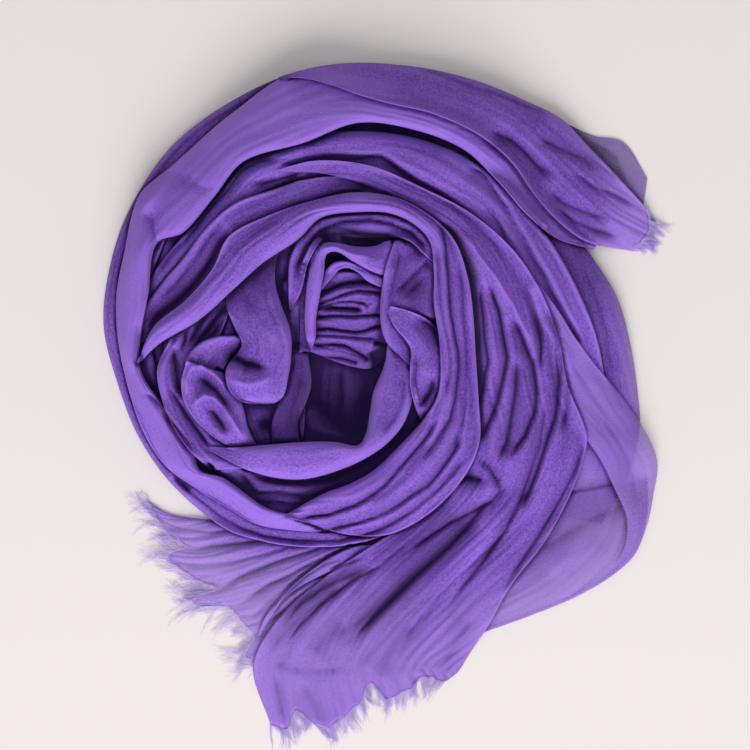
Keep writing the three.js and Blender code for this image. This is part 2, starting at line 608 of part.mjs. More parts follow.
// The same geometry with its faces pointing out.
function turnedOut(geometry) {
  const p = geometry.getAttribute("position");
  const index = geometry.getIndex().array;
  const [a, b, c] = [new THREE.Vector3(), new THREE.Vector3(), new THREE.Vector3()];
  let volume = 0;
  for (let i = 0; i < index.length; i += 3) {
    [a, b, c].forEach((v, k) => v.fromBufferAttribute(p, index[i + k]));
    volume += a.dot(b.cross(c));
  }
  if (volume < 0) {
    for (let i = 0; i < index.length; i += 3) [index[i + 1], index[i + 2]] = [index[i + 2], index[i + 1]];
  }
  return geometry;
}

function clothMesh(name, geometry, color) {
  const mesh = new THREE.Mesh(geometry, new THREE.MeshStandardMaterial({ color, roughness: 0.9, metalness: 0 }));
  mesh.name = name;
  return mesh;
}

// A number from 0 to 1 for each strand, uneven but always the same.
function uneven(n) {
  const v = Math.sin(n * 12.9898 + 4.1) * 43758.5453;
  return v - Math.floor(v);
}

// The line just outside a hem, a given distance from it.
function beside(hem, before, distance) {
  return hem.map((p, j) => {
    const a = hem[Math.max(j - 1, 0)];
    const b = hem[Math.min(j + 1, hem.length - 1)];
    const away = new THREE.Vector3(b.y - a.y, a.x - b.x, 0).normalize();
    if (away.dot(p.clone().sub(before[j])) < 0) away.negate();
    return p.clone().addScaledVector(away, distance);
  });
}

// The point a given share of the way along a row of points, by number of points.
function alongRow(row, share) {
  const at = THREE.MathUtils.clamp(share, 0, 1) * (row.length - 1);
  const k = Math.min(Math.floor(at), row.length - 2);
  return row[k].clone().lerp(row[k + 1], at - k);
}

// The fringe of a hem: a narrow strip just outside the cloth, with a four-sided strand drawn out of its
// outer side at even steps. Every strand tapers to a point just above what is under it.
function fringeMesh(fringe, rows, pile) {
  const hem = rows[rows.length - 1];
  const before = rows[rows.length - 2];
  const inside = beside(hem, before, GAP + 0.5);
  const outside = beside(hem, before, GAP + 2);
  const points = [];
  const index = [];
  const quad = (a, b, c, d) => index.push(a, b, c, a, c, d);
  for (let k = 0; k < fringe.strands; k++) {
    for (const side of [-0.25, 0.25]) {
      const share = (k + 0.5 + side) / fringe.strands;
      const n = points.length;
      for (const line of [inside, outside]) {
        const p = alongRow(line, share);
        const under = pile.highest(p.x, p.y, 2.5);
        p.z = under > 0 ? under + GAP : 0;
        points.push(p, p.clone().setZ(p.z + 1.3));
      }
      if (n > 0) {
        const m = n - (side > 0 ? 4 : 5);
        quad(m, n, n + 1, m + 1);
        quad(m + 1, n + 1, n + 3, m + 3);
        quad(n, m, m + 2, n + 2);
        if (side < 0) quad(m + 3, n + 3, n + 2, m + 2);
      } else {
        quad(0, 1, 3, 2);
      }
    }
    const last = points.length - 8;
    const root = alongRow(outside, (k + 0.5) / fringe.strands);
    const way = alongRow(hem, (k + 0.5) / fringe.strands).sub(alongRow(before, (k + 0.5) / fringe.strands));
    way.setZ(0).normalize().applyAxisAngle(new THREE.Vector3(0, 0, 1), 0.1 * (uneven(k) - 0.5));
    const tip = root.addScaledVector(way, fringe.length * (0.6 + 0.6 * uneven(k + 300)));
    const under = pile.highest(tip.x, tip.y, 3);
    points.push(tip.setZ(under > 0 ? under + GAP + 0.3 : 0.5));
    const top = points.length - 1;
    index.push(last + 3, last + 7, top, last + 7, last + 6, top, last + 6, last + 2, top, last + 2, last + 3, top);
  }
  const end = points.length - 5;
  quad(end + 1, end, end + 2, end + 3);
  return clothMesh(fringe.name, turnedOut(new THREE.BufferGeometry().setFromPoints(points).setIndex(index)), FRINGE);
}

// The hidden layers: rings from the foot of the rim, up its steps, over the crown and down into the hollow.
function hiddenLayers(pile) {
  const { centre, outline, layers, layerHeight, layerInset, crownHeight, hollowFloor, bearings } = HEAP;
  const wrapped = [...outline, [360, outline[0][1], outline[0][2]]];
  const rimTop = layers * layerHeight;
  const ringAt = (radiusOf, z) => Array.from({ length: bearings }, (_, k) => {
    const bearing = (360 * k) / bearings;
    const radius = radiusOf(between(wrapped, bearing, 1), between(wrapped, bearing, 2));
    const angle = THREE.MathUtils.degToRad(bearing);
    return new THREE.Vector3(centre.x + radius * Math.cos(angle), centre.y + radius * Math.sin(angle), z);
  });
  const rings = [];
  for (let k = 0; k < layers; k++) {
    rings.push(ringAt((outer) => outer - layerInset * k - 1.5, k * layerHeight));
    rings.push(ringAt((outer) => outer - layerInset * k, (k + 0.45) * layerHeight));
  }
  const rimInset = layers * layerInset;
  for (const [share, lift] of [[0, 0], [0.25, 0.75], [0.5, 1], [0.75, 0.8]]) {
    rings.push(ringAt(
      (outer, hollow) => THREE.MathUtils.lerp(outer - rimInset, hollow + 12, share),
      rimTop + lift * (crownHeight - rimTop),
    ));
  }
  rings.push(ringAt((outer, hollow) => hollow + 10, rimTop * 0.9));
  rings.push(ringAt((outer, hollow) => hollow, hollowFloor + 2));
  rings.push(ringAt((outer, hollow) => hollow * 0.5, hollowFloor));
  const points = [...rings.flat()];
  const index = [];
  rings.slice(1).forEach((_, r) => {
    for (let k = 0; k < bearings; k++) {
      const next = (k + 1) % bearings;
      const [a, b] = [r * bearings + k, r * bearings + next];
      index.push(a, b, b + bearings, a, b + bearings, a + bearings);
    }
  });
  for (const [ring, z] of [[0, 0], [rings.length - 1, hollowFloor]]) {
    points.push(new THREE.Vector3(centre.x, centre.y, z));
    for (let k = 0; k < bearings; k++) {
      const [a, b] = [ring * bearings + k, ring * bearings + ((k + 1) % bearings)];
      index.push(...(ring === 0 ? [b, a, points.length - 1] : [a, b, points.length - 1]));
      if (ring > 0) pile.layTriangle(points[a], points[b], points[points.length - 1]);
    }
  }
  rings.slice(1).forEach((ring, r) => pile.layGrid([[...rings[r], rings[r][0]], [...ring, ring[0]]]));
  return clothMesh("hidden_layers", turnedOut(new THREE.BufferGeometry().setFromPoints(points).setIndex(index)), CLOTH);
}

// Lays a stretch on the pile, and returns a mesh for each of its nodes.
function layStretch(stretch, pile) {
  const edges = edgesOf(stretch);
  const walls = stretch.nodes.map(([name, from, to, cells]) => {
    const rows = rowsOf(stretch, edges, from, to, cells ?? stretch.across);
    return { name, ...layRows(rows, pile) };
  });
  const meshes = walls.map((wall) => clothMesh(wall.name, wallGeometry(wall.top, wall.bottom), CLOTH));
  if (stretch.fringe) meshes.push(fringeMesh(stretch.fringe, walls[walls.length - 1].top, pile));
  walls.forEach((wall) => pile.layGrid(wall.top));
  return meshes;
}

const shawl = new THREE.Group();
shawl.name = "shawl";
const pile = new Pile();
shawl.add(hiddenLayers(pile));
for (const stretch of STRETCHES) {
  for (const mesh of layStretch(stretch, pile)) shawl.add(mesh);
}

export default shawl;
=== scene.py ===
# %% [markdown]
# # A pashmina shawl, wound into a coil
#
# A fine sheer shawl is gathered along its length, wound into a loose coil and laid on a table, and it is
# seen from straight above. The lesson builds it the way it lies: one stretch of cloth after another, from
# the table upwards. Each stretch has its own folds, and is lifted wherever it crosses what already lies
# there. All tables are in millimetres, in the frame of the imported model, with +Z up.

import math

import bpy
import numpy as np
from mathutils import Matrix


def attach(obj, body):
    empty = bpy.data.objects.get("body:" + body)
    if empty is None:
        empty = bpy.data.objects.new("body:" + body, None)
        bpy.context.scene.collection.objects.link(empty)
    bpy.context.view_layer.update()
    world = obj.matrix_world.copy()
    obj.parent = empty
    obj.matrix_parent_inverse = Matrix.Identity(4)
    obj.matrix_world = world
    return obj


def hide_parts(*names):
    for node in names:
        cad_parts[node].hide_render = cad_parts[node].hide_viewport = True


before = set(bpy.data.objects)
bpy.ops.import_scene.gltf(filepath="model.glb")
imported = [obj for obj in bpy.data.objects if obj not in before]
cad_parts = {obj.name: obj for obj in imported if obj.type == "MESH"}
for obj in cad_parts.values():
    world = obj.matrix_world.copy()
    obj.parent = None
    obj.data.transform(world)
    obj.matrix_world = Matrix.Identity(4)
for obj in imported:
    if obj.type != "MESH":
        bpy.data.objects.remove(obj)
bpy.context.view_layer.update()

# %% [markdown]
# ## Sizes
#
# Real cloth this fine is a third of a millimetre thick, and gathered it takes up two millimetres or more.
# A stretch takes up `ROOM` over what lies beneath it. It is drawn as a shell only `SHELL` thick, because the
# room between the shells stands for the air between layers of gathered cloth.

# %% Sizes of the cloth
MM = 0.001
SHELL = 0.4  # thickness of the cloth that is drawn
ROOM = 2.1  # height that a gathered stretch takes up over what lies beneath it
THIN_ROOM = 0.8  # the same for a single layer
TABLE_ROOM = 0.7  # lowest the top of any layer comes to the table
COLUMN_STEP = 1.25  # spacing of a sheet's points across it
ROW_STEP = 2.3  # and along it
CROWN_POWER = 2.3  # 2 is a half ellipse, more is fuller at the sides
CREASE_REACH = 2.6  # how far from its bottom a crease has opened to a third
RIDGE_HEIGHT = 2.1  # of the soft folds that run along gathered cloth
FINE_HEIGHT = 0.7  # of the finer folds between them
CRINKLE_HEIGHT = 0.15  # of the crinkle of loose wool
HEM_UNEVENNESS = 1.2  # how far the weft ends stray from the drawn hem
LAST_ROOM = 0.15  # room of a stretch at an end that is tucked in
LID_GAP = 0.75  # from the top of one layer to the top of the one that it presses down
LID_REACH = 2  # cells of the map by which an edge presses down what lies beside it
MAP_STEP = 0.8  # spacing of the height map of what already lies there
MAP_HALF = (225.0, 262.0)
SETTLE_ROUNDS = 14  # more rounds bridge the dips in what lies beneath more smoothly
UV_UNIT = 100.0  # millimetres of cloth to one unit of a sheet's UV map
print("a layer is drawn", SHELL, "mm thick and takes up", ROOM, "mm")

# %% [markdown]
# ## The edge of a stretch
#
# Each edge of a gathered stretch runs along the coil as one long easy line. A Blender curve could draw
# it, but the folds need its points as numbers. So the same kind of curve is worked out here. It passes
# through every point given, and keeps its pull even where the points are unevenly spaced.

# %% Smooth edges
def edge_curve(points, at):
    """Points of a smooth curve at section numbers. The spacing of the given points sets its pull."""
    points = np.asarray(points, float)
    ends = np.vstack([2 * points[0] - points[1], points, 2 * points[-1] - points[-2]])
    i = np.clip(np.floor(at).astype(int), 0, len(points) - 2)
    u = (at - i)[:, None]
    p0, p1, p2, p3 = (ends[i + k] for k in range(4))
    d0, d1, d2 = (
        np.maximum(np.linalg.norm(b - a, axis=1, keepdims=True), 1e-6) ** 0.5
        for a, b in ((p0, p1), (p1, p2), (p2, p3))
    )
    start = ((p1 - p0) / d0 - (p2 - p0) / (d0 + d1) + (p2 - p1) / d1) * d1
    finish = ((p2 - p1) / d1 - (p3 - p1) / (d1 + d2) + (p3 - p2) / d2) * d1
    bend = -3 * p1 + 3 * p2 - 2 * start - finish
    return p1 + u * (start + u * (bend + u * (2 * p1 - 2 * p2 + start + finish)))


half_way = edge_curve([(0, 0), (10, 8), (20, 8), (30, 0)], np.array([1.5]))
print("half way along a small arch the curve is at", half_way[0].round(2).tolist())

# %% [markdown]
# ## Values that change along the cloth
#
# A stretch is high in one place and flat in another, and its creases deepen and fade. Keyframes or drawn
# curves could say so, but a table with a few rows is plainer. This reads a value between two of its rows,
# with an easy start and end.

# %% Reading a table
def between(rows, at, column):
    """A column's value between the rows of a table whose first column says where each row holds."""
    rows = np.asarray(rows, float)
    at = np.clip(at, rows[0, 0], rows[-1, 0])
    i = np.clip(np.searchsorted(rows[:, 0], at, side="right") - 1, 0, len(rows) - 2)
    u = (at - rows[i, 0]) / (rows[i + 1, 0] - rows[i, 0])
    u = u * u * (3 - 2 * u)
    return rows[i, column] + u * (rows[i + 1, column] - rows[i, column])


def smoothstep(low, high, x):
    u = np.clip((x - low) / (high - low), 0, 1)
    return u * u * (3 - 2 * u)


print("between 2 and 6 the table reads", float(between([(0, 2), (1, 6)], 0.5, 1)), "half way")

# %% [markdown]
# ## Unevenness
#
# No two wrinkles of soft cloth are alike. Blender's noise textures would do for the surface, but the
# points have to be known before one stretch is laid on another. So a noise of the same kind is worked out
# here, and it gives the same cloth every time.

# %% Uneven numbers
def uneven(n, seed):
    """A number from 0 to 1 for each n, uneven but always the same."""
    v = np.sin(np.asarray(n, float) * 12.9898 + seed * 78.233) * 43758.5453
    return v - np.floor(v)


def noise(x, y, seed):
    """A smooth uneven surface between about -1 and 1, with bumps about one unit across."""
    xi, yi = np.floor(x), np.floor(y)
    fx, fy = x - xi, y - yi

    def corner(i, j):
        turn = uneven((xi + i) * 1.371 + (yi + j) * 7.193, seed) * 2 * math.pi
        return np.cos(turn) * (fx - i) + np.sin(turn) * (fy - j)

    u, v = (f * f * f * (f * (f * 6 - 15) + 10) for f in (fx, fy))
    low = corner(0, 0) * (1 - u) + corner(1, 0) * u
    high = corner(0, 1) * (1 - u) + corner(1, 1) * u
    return 1.5 * (low * (1 - v) + high * v)


print("three uneven numbers:", uneven(np.arange(3), 1).round(2).tolist())

# %% [markdown]
# ## The pile
#
# Where the real cloth crosses another stretch it is lifted over it. A cloth simulation could find this
# out, but a coil of thirty stretches would slide apart and lose the folds of the photo. So the pile is a
# height map of everything laid so far, and each stretch asks it what lies beneath its points.

# %% Widening and softening a map
def spread(chart, keep, reach):
    """The chart with each place given the highest or lowest value in a square around it."""
    for axis in (0, 1):
        chart = keep([np.roll(chart, k, axis) for k in range(-reach, reach + 1)], axis=0)
    return chart


def soft_map(heights, reach):
    """The map with each place replaced by the mean of a square around it, twice over."""
    for _ in range(2):
        for axis in (0, 1):
            padded = np.concatenate([np.zeros((1,) + heights.shape[1:]), np.cumsum(heights, axis=0)])
            top = np.minimum(np.arange(len(heights)) + reach + 1, len(heights))
            low = np.maximum(np.arange(len(heights)) - reach, 0)
            heights = ((padded[top] - padded[low]) / (top - low)[:, None]).T
    return heights


dot = np.pad([[1.0]], 3)
print("a dot on a map, widened, covers", int(spread(dot, np.max, 1).sum()), "cells")

# %% The height map
class Pile:
    """Two height maps: the top of what lies there, and the lowest lid of what was laid over each place."""

    def __init__(self):
        shape = [int(2 * half / MAP_STEP) + 2 for half in MAP_HALF]
        self.heights = np.zeros(shape)
        self.lids = np.full(shape, np.inf)
        self.widened = self.heights

    def cell(self, x, y):
        i = np.clip(np.round((x + MAP_HALF[0]) / MAP_STEP).astype(int), 1, self.heights.shape[0] - 2)
        j = np.clip(np.round((y + MAP_HALF[1]) / MAP_STEP).astype(int), 1, self.heights.shape[1] - 2)
        return i, j

    def mark(self, chart, keep, x, y, z):
        """Marks the heights of a grid of points on a chart, filling in between them."""
        longest = max(np.max(np.hypot(np.diff(x, axis=axis), np.diff(y, axis=axis))) for axis in (0, 1))
        steps = max(1, math.ceil(longest / MAP_STEP))
        shares = np.arange(steps + 1) / steps
        for a in shares:
            for b in shares:
                px, py, pz = (
                    (1 - a) * ((1 - b) * g[:-1, :-1] + b * g[:-1, 1:])
                    + a * ((1 - b) * g[1:, :-1] + b * g[1:, 1:])
                    for g in (x, y, z)
                )
                i, j = self.cell(px, py)
                keep.at(chart, (i.ravel(), j.ravel()), pz.ravel())

    def lay(self, x, y, z):
        self.mark(self.heights, np.maximum, x, y, z)
        self.widened = spread(self.heights, np.max, 1)

    def under(self, x, y):
        return self.widened[self.cell(x, y)]

    def cover(self, x, y, z):
        self.mark(self.lids, np.minimum, x, y, z)

    def lid(self, x, y):
        """The lowest cloth over each place, or within reach of it, so that folds beside an edge give way."""
        return spread(self.lids, np.min, LID_REACH)[self.cell(x, y)]

    def soften(self):
        """Keeps softened copies of the finished pile, near, middle and far: how high it is around each place.
        The painted highlight and shade come from them.
        """
        self.near = soft_map(self.heights, 3)
        self.middle = soft_map(self.near, 7)
        self.far = soft_map(self.near, 18)


print("the map has", " x ".join(str(n) for n in Pile().heights.shape), "cells of", MAP_STEP, "mm")

# %% [markdown]
# ## Folding a stretch
#
# A stretch's table of sections gives its two edges. Its heights give the height of both edges and how far
# the crown stands over the line between them. A crease belongs to the stretch and runs all along it; a
# groove is drawn on the map, as points in millimetres with a depth and a reach to either side of it. The
# folds could be sculpted by hand, but numbers can be corrected one by one against the photo.

# %% The shape of a groove
def wide_blur(values):
    """One round of smoothing over a grid, which keeps the values at its border."""
    padded = np.pad(values, 1, mode="edge")
    across = (padded[:, :-2] + 2 * padded[:, 1:-1] + padded[:, 2:]) / 4
    return (across[:-2] + 2 * across[1:-1] + across[2:]) / 4


def groove_share(x, y, groove):
    """How much of a groove's depth is reached at each place. It fades out at both ends."""
    line = np.asarray(groove["line"], float)
    left, right = groove.get("reach", (3.0, 3.0))
    run = np.concatenate([[0], np.cumsum(np.linalg.norm(np.diff(line, axis=0), axis=1))])
    nearest = np.full(x.shape, 1e9)
    side = np.zeros(x.shape)
    place = np.zeros(x.shape)
    for k, (a, b) in enumerate(zip(line[:-1], line[1:])):
        way = (b - a) / max(1e-6, np.linalg.norm(b - a))
        ahead = (x - a[0]) * way[0] + (y - a[1]) * way[1]
        share = np.clip(ahead, 0, run[k + 1] - run[k])
        off = (y - a[1]) * way[0] - (x - a[0]) * way[1]
        away = np.hypot(x - a[0] - share * way[0], y - a[1] - share * way[1])
        closer = away < nearest
        nearest = np.where(closer, away, nearest)
        side = np.where(closer, off, side)
        place = np.where(closer, run[k] + share, place)
    fade_in, fade_out = groove.get("fade", (12.0, 12.0))
    ends = smoothstep(0, max(fade_in, 0.01), place) * smoothstep(0, max(fade_out, 0.01), run[-1] - place)
    reach = np.where(side > 0, left, right)
    return ends * np.exp(-nearest / reach)


valley = {"line": [(0, 0), (40, 0)], "reach": (2, 6)}
sides = groove_share(np.array([20.0, 20.0]), np.array([3.0, -3.0]), valley)
print("3 mm to the left and right of a groove it is", sides.round(2).tolist(), "of its depth")

# %% The points of a stretch
class FlatStretch:
    """The rows and columns of points between the two edges of one stretch, as seen from above."""

    def __init__(self, table, seed):
        self.table = table
        self.seed = seed
        sections = np.asarray(table["sections"], float)
        self.last = len(sections) - 1
        self.outer = sections[:, 0:2]
        self.inner = sections[:, 2:4]
        dense = np.linspace(0, self.last, 60 * self.last)
        middle = (edge_curve(self.outer, dense) + edge_curve(self.inner, dense)) / 2
        run = np.concatenate([[0], np.cumsum(np.linalg.norm(np.diff(middle, axis=0), axis=1))])
        detail = table.get("detail", 1.0)
        rows = max(8, round(run[-1] * detail / ROW_STEP))
        self.section = np.interp(np.linspace(0, run[-1], rows + 1), run, dense)
        widths = np.linalg.norm(edge_curve(self.outer, dense) - edge_curve(self.inner, dense), axis=1)
        columns = max(8, round(np.percentile(widths, 90) * detail / COLUMN_STEP))
        even = np.linspace(0, 1, columns + 1)
        self.place = 0.6 * even + 0.4 * (1 - np.cos(math.pi * even)) / 2
        self.length = run[-1]
        self.along = np.interp(self.section, dense, run)[:, None] * np.ones(columns + 1)
        self.x, self.y, self.width = self.flat_points(self.section)
        self.across = (self.place[None, :] - 0.5) * self.width
        self.hem()
        self.z = self.folded()

    def flat_points(self, section):
        outer = edge_curve(self.outer, section)
        inner = edge_curve(self.inner, section)
        x, y = (outer[:, k : k + 1] + self.place * (inner - outer)[:, k : k + 1] for k in (0, 1))
        return x, y, np.linalg.norm(inner - outer, axis=1)[:, None]

    def hem(self):
        """Draws the last rows out to an uneven hem."""
        hem = self.table.get("hem")
        if not hem:
            return
        share = np.clip((self.section - (self.last - 2)) / 2, 0, 1)[:, None]
        ends_x, ends_y, _ = self.flat_points(np.array([self.last - 0.5, self.last]))
        way = np.stack([ends_x[1] - ends_x[0], ends_y[1] - ends_y[0]])
        self.way = way / np.linalg.norm(way, axis=0)
        out = between(hem, self.place, 1)
        out = out + HEM_UNEVENNESS * noise(self.across[-1] / 4, 0 * out, self.seed)
        self.x = self.x + share * out * self.way[0]
        self.y = self.y + share * out * self.way[1]


print("a stretch has a row of points every", ROW_STEP, "mm")

# %% Its folds
class FoldedStretch(FlatStretch):
    """The stretch with its height, and with folds that run along it."""

    def folded(self):
        """Heights of the stretch with its crown, creases, grooves and wrinkles, on nothing at all."""
        table = self.table
        at = self.section[:, None] * np.ones_like(self.x)
        low, high, rise = (between(table["heights"], at, k) for k in (1, 2, 3))
        side = np.abs(2 * self.place - 1)
        crown = np.maximum(0, 1 - side**CROWN_POWER) ** (1 / CROWN_POWER)
        z = low + self.place * (high - low) + rise * crown
        for n, crease in enumerate(table.get("creases", ())):
            wander = 1.4 * noise(self.along / 34, 0 * self.along, self.seed + 3 * n)
            away = np.abs((self.place - between(crease, at, 1)) * self.width + wander)
            z = z - between(crease, at, 2) * np.exp(-away / CREASE_REACH)
        return z + self.wrinkles()

    def wrinkles(self):
        """Soft folds that run along the gathered cloth, and the small crinkles of a fine loose weave."""
        size = self.table.get("wrinkle", 1.0)
        drift = 4 * noise(self.along / 60, self.across / 60, self.seed + 11)
        soft = noise((self.across + drift) / 8, self.along / 120, self.seed + 12)
        small = noise((self.across + drift) / 3.4, self.along / 55, self.seed + 13)
        crinkle = noise(self.across / 2.4, self.along / 4.8, self.seed + 14)
        ridges = np.abs(soft) ** 0.8 - 0.4
        fine = np.abs(small) ** 0.8 - 0.4
        return size * (RIDGE_HEIGHT * ridges + FINE_HEIGHT * fine + CRINKLE_HEIGHT * crinkle)


print("a crease has opened to a third", CREASE_REACH, "mm from its bottom")

# %% [markdown]
# ### Laying a stretch
#
# Real cloth bridges small gaps and sags into wide ones. Here the stretch is first lifted clear of whatever
# lies beneath it, and the lift is smoothed, which bridges the gaps. A shrinkwrap modifier would follow every
# bump instead. The grooves come afterwards, and last the stretch gives way to whatever lies over it.

# %% Laying it
class Stretch(FoldedStretch):
    """The stretch as it is laid on the pile, grooved, and pressed down by what lies over it."""

    def settle(self, pile):
        """Lifts the stretch clear of the pile, smoothly, and lays it there. A tucked end lies close on it."""
        room = self.table.get("room", ROOM)
        start, finish = self.table.get("tuck", (0, 0))
        free = smoothstep(0, max(start, 0.01), self.along) if start else np.ones_like(self.along)
        if finish:
            free = free * smoothstep(0, finish, self.length - self.along)
        self.under = pile.under(self.x, self.y)
        floor = np.where(self.under > 0.05, self.under + LAST_ROOM + (room - LAST_ROOM) * free, TABLE_ROOM)
        self.z = np.where(self.under > 0.05, floor + (self.z - floor) * free, self.z)
        needed = np.maximum(floor - self.z, 0)
        lift = needed
        for _ in range(self.table.get("settle_rounds", SETTLE_ROUNDS)):
            lift = np.maximum(wide_blur(lift), needed)
        self.z = self.z + lift
        pile.lay(self.x, self.y, self.z)

    def carve(self):
        """Presses the grooves into the stretch, and keeps the painted shade or light that they and its tone
        give each place.
        """
        self.shade = np.full_like(self.z, self.table.get("tone", 0.0))
        for n, groove in enumerate(self.table.get("grooves", ())):
            sway = 0.7 * noise(self.along / 21, self.across / 30, self.seed + 40 + n)
            share = groove_share(self.x + sway, self.y + sway, groove)
            self.z = self.z - groove["depth"] * share
            # A groove's tone, or else its depth, is painted shade along it; a tone below nothing is painted
            # light.
            self.shade = self.shade + groove.get("tone", groove["depth"] / 14) * share
        self.z = np.maximum(self.z, TABLE_ROOM)

    def give_way(self, pile):
        """Presses the stretch down below all that was laid over it, and makes a lid of it in its turn."""
        self.z = np.maximum(np.minimum(self.z, pile.lid(self.x, self.y) - LID_GAP), SHELL + 0.05)
        self.rolled = grid_points(self)
        extra = [len(ROLL) if side else 0 for side in self.table.get("rolled", (1, 1))]
        self.rolled_shade = np.pad(self.shade, ((0, 0), extra), mode="edge")
        pile.cover(*self.rolled[:3])


print("a stretch keeps", LID_GAP, "mm below the one that lies over it")

# %% [markdown]
# ## From a folded stretch to a mesh
#
# The sides of a gathered stretch are folds of cloth, so they roll under. The sides of a single layer, such
# as a selvedge, are left as they are. The UV map is the cloth itself: U across it and V along it. A
# subdivided plane could be unwrapped for this, but here the places across the cloth are already known.

# %% Rolling the sides under
ROLL = ((0.25, 0.9), (0.9, 1.9), (2.2, 2.7), (4.0, 3.0))  # how far in and down each point of a rolled side is


def rolled_side(edge, second, size):
    """Points of the cloth that rolls under beyond one side, from the side inwards."""
    inward = np.stack([second[0] - edge[0], second[1] - edge[1]])
    inward = inward / np.maximum(np.linalg.norm(inward, axis=0), 1e-6)
    points = []
    for far, drop in ROLL:
        z = np.maximum(edge[2] - size * drop, SHELL + 0.05)
        points.append((edge[0] + size * far * inward[0], edge[1] + size * far * inward[1], z))
    return points


def grid_points(stretch):
    """The stretch's points as three grids, and their places across the cloth, with its sides rolled under."""
    x, y, z, across = stretch.x, stretch.y, stretch.z, stretch.across
    sides = stretch.table.get("rolled", (1, 1))
    steps = np.array([drop for _, drop in ROLL])
    narrow = np.clip(stretch.width[:, 0] / 12, 0.06, 1)
    if sides[0]:
        extra = rolled_side((x[:, 0], y[:, 0], z[:, 0]), (x[:, 2], y[:, 2]), sides[0] * narrow)[::-1]
        x, y, z = (np.hstack([*(e[k][:, None] for e in extra), g]) for k, g in enumerate((x, y, z)))
        across = np.hstack([across[:, :1] - sides[0] * steps[::-1], across])
    if sides[1]:
        extra = rolled_side((x[:, -1], y[:, -1], z[:, -1]), (x[:, -3], y[:, -3]), sides[1] * narrow)
        x, y, z = (np.hstack([g, *(e[k][:, None] for e in extra)]) for k, g in enumerate((x, y, z)))
        across = np.hstack([across, across[:, -1:] + sides[1] * steps])
    along = stretch.along[:, :1] * np.ones_like(x)
    return x, y, z, across, along


print("a side rolls", ROLL[-1][1], "mm down and", ROLL[-1][0], "mm in")

# %% Meshes from grids
def new_mesh(name, points, faces, uvs=None):
    """A smooth mesh from points in millimetres and faces, with one UV map."""
    mesh = bpy.data.meshes.new(name)
    mesh.from_pydata((points * MM).tolist(), [], faces if isinstance(faces, list) else faces.tolist())
    mesh.shade_smooth()
    if uvs is not None:
        layer = mesh.uv_layers.new(name="cloth")
        corners = np.zeros(len(mesh.loops), dtype=np.int32)
        mesh.loops.foreach_get("vertex_index", corners)
        layer.data.foreach_set("uv", uvs[corners].astype(np.float32).ravel())
    piece = bpy.data.objects.new(name, mesh)
    bpy.context.scene.collection.objects.link(piece)
    return piece


def grid_faces(rows, columns):
    corner = np.arange(rows * columns).reshape(rows, columns)
    return np.stack(
        [corner[:-1, :-1], corner[1:, :-1], corner[1:, 1:], corner[:-1, 1:]], axis=-1
    ).reshape(-1, 4)


def facing_up(points, faces):
    """The faces, turned over if most of them face down."""
    a, b, c = (points[faces[:, k]] for k in (0, 1, 2))
    up = np.cross(b - a, c - a)[:, 2].sum()
    return faces if up > 0 else faces[:, ::-1]


print("a grid of 3 by 3 points has", len(grid_faces(3, 3)), "faces")

# %% [markdown]
# ### Thickness
#
# Even the finest cloth has two faces and an edge. Blender's Solidify modifier adds them, and its result is
# kept as the mesh, because the marks of the next step are written on its points.

# %% A thin shell
def thicken(piece, thickness):
    """Turns a sheet into a thin shell and keeps the result as its mesh."""
    shell = piece.modifiers.new("shell", "SOLIDIFY")
    shell.thickness = thickness * MM
    shell.offset = -1
    graph = bpy.context.evaluated_depsgraph_get()
    mesh = bpy.data.meshes.new_from_object(piece.evaluated_get(graph))
    mesh.name = piece.name
    piece.modifiers.clear()
    piece.data = mesh


print("the shell is", SHELL, "mm thick")

# %% [markdown]
# ### Painted highlights, painted shade and thin places
#
# On the real shawl the crests are pale, the valleys nearly black, and a single layer lets the light through.
# The lamps give this only in part, so it is painted into the colour, and the materials have to know where.
# Ambient occlusion could tell them, but here each point gets three marks in a colour attribute instead. Red
# is the painted highlight of a crest, green the painted shade deep in a fold, and blue the painted light of a
# single layer, by how few layers lie under it.

# %% Marks on the points
FOLD = "fold"
# Strong painted light also turns a stretch towards the paler colour of a single layer.
THIN_BY_PAINTED_LIGHT = 0.8  # how much paler than a crest a stretch with a pale tone may get


def mark_light_and_shade(piece, pile, stretch=None):
    """Marks painted highlight where a point stands out of the finished pile, and painted shade where it lies
    down in it.
    """
    mesh = piece.data
    points = np.zeros(3 * len(mesh.vertices), dtype=np.float32)
    mesh.vertices.foreach_get("co", points)
    x, y, z = points.reshape(-1, 3).T / MM
    cell = pile.cell(x, y)
    near, middle, far = (chart[cell] - z for chart in (pile.near, pile.middle, pile.far))
    drawn = 0 if stretch is None else np.tile(stretch.rolled_shade.ravel(), 2)
    # Crests get a painted highlight and hollows painted shade; the stretch's own tones add their painted
    # shade or light.
    crest_highlight = np.clip(-near / 2.6, 0, 1) + np.clip(-middle / 9, 0, 0.5) - drawn
    deep = 0.7 * np.clip((near - 0.3) / 3.6, 0, 1) + 0.45 * np.clip((middle - 0.5) / 5, 0, 1)
    deep = deep + 0.7 * np.clip((far - 5) / 12, 0, 1) + drawn
    # Single layers are painted paler, as the light that comes through them, and so are stretches given a
    # strong pale tone.
    thin = 1 - smoothstep(3, 11, pile.far[cell]) + THIN_BY_PAINTED_LIGHT * np.clip(-np.asarray(drawn) - 0.4, 0, 1)
    values = np.clip(np.column_stack([crest_highlight, deep, thin, 0 * crest_highlight + 1]), 0, 1)
    layer = mesh.attributes.new(FOLD, "FLOAT_COLOR", "POINT")
    layer.data.foreach_set("color", values.astype(np.float32).ravel())


print("the marks are kept as", repr(FOLD))

# %% [markdown]
# ### The cut and the finished piece
#
# A maker would ask how large a piece of cloth each stretch takes. Its length is measured along its rows of
# points, and its width is its area divided by that.

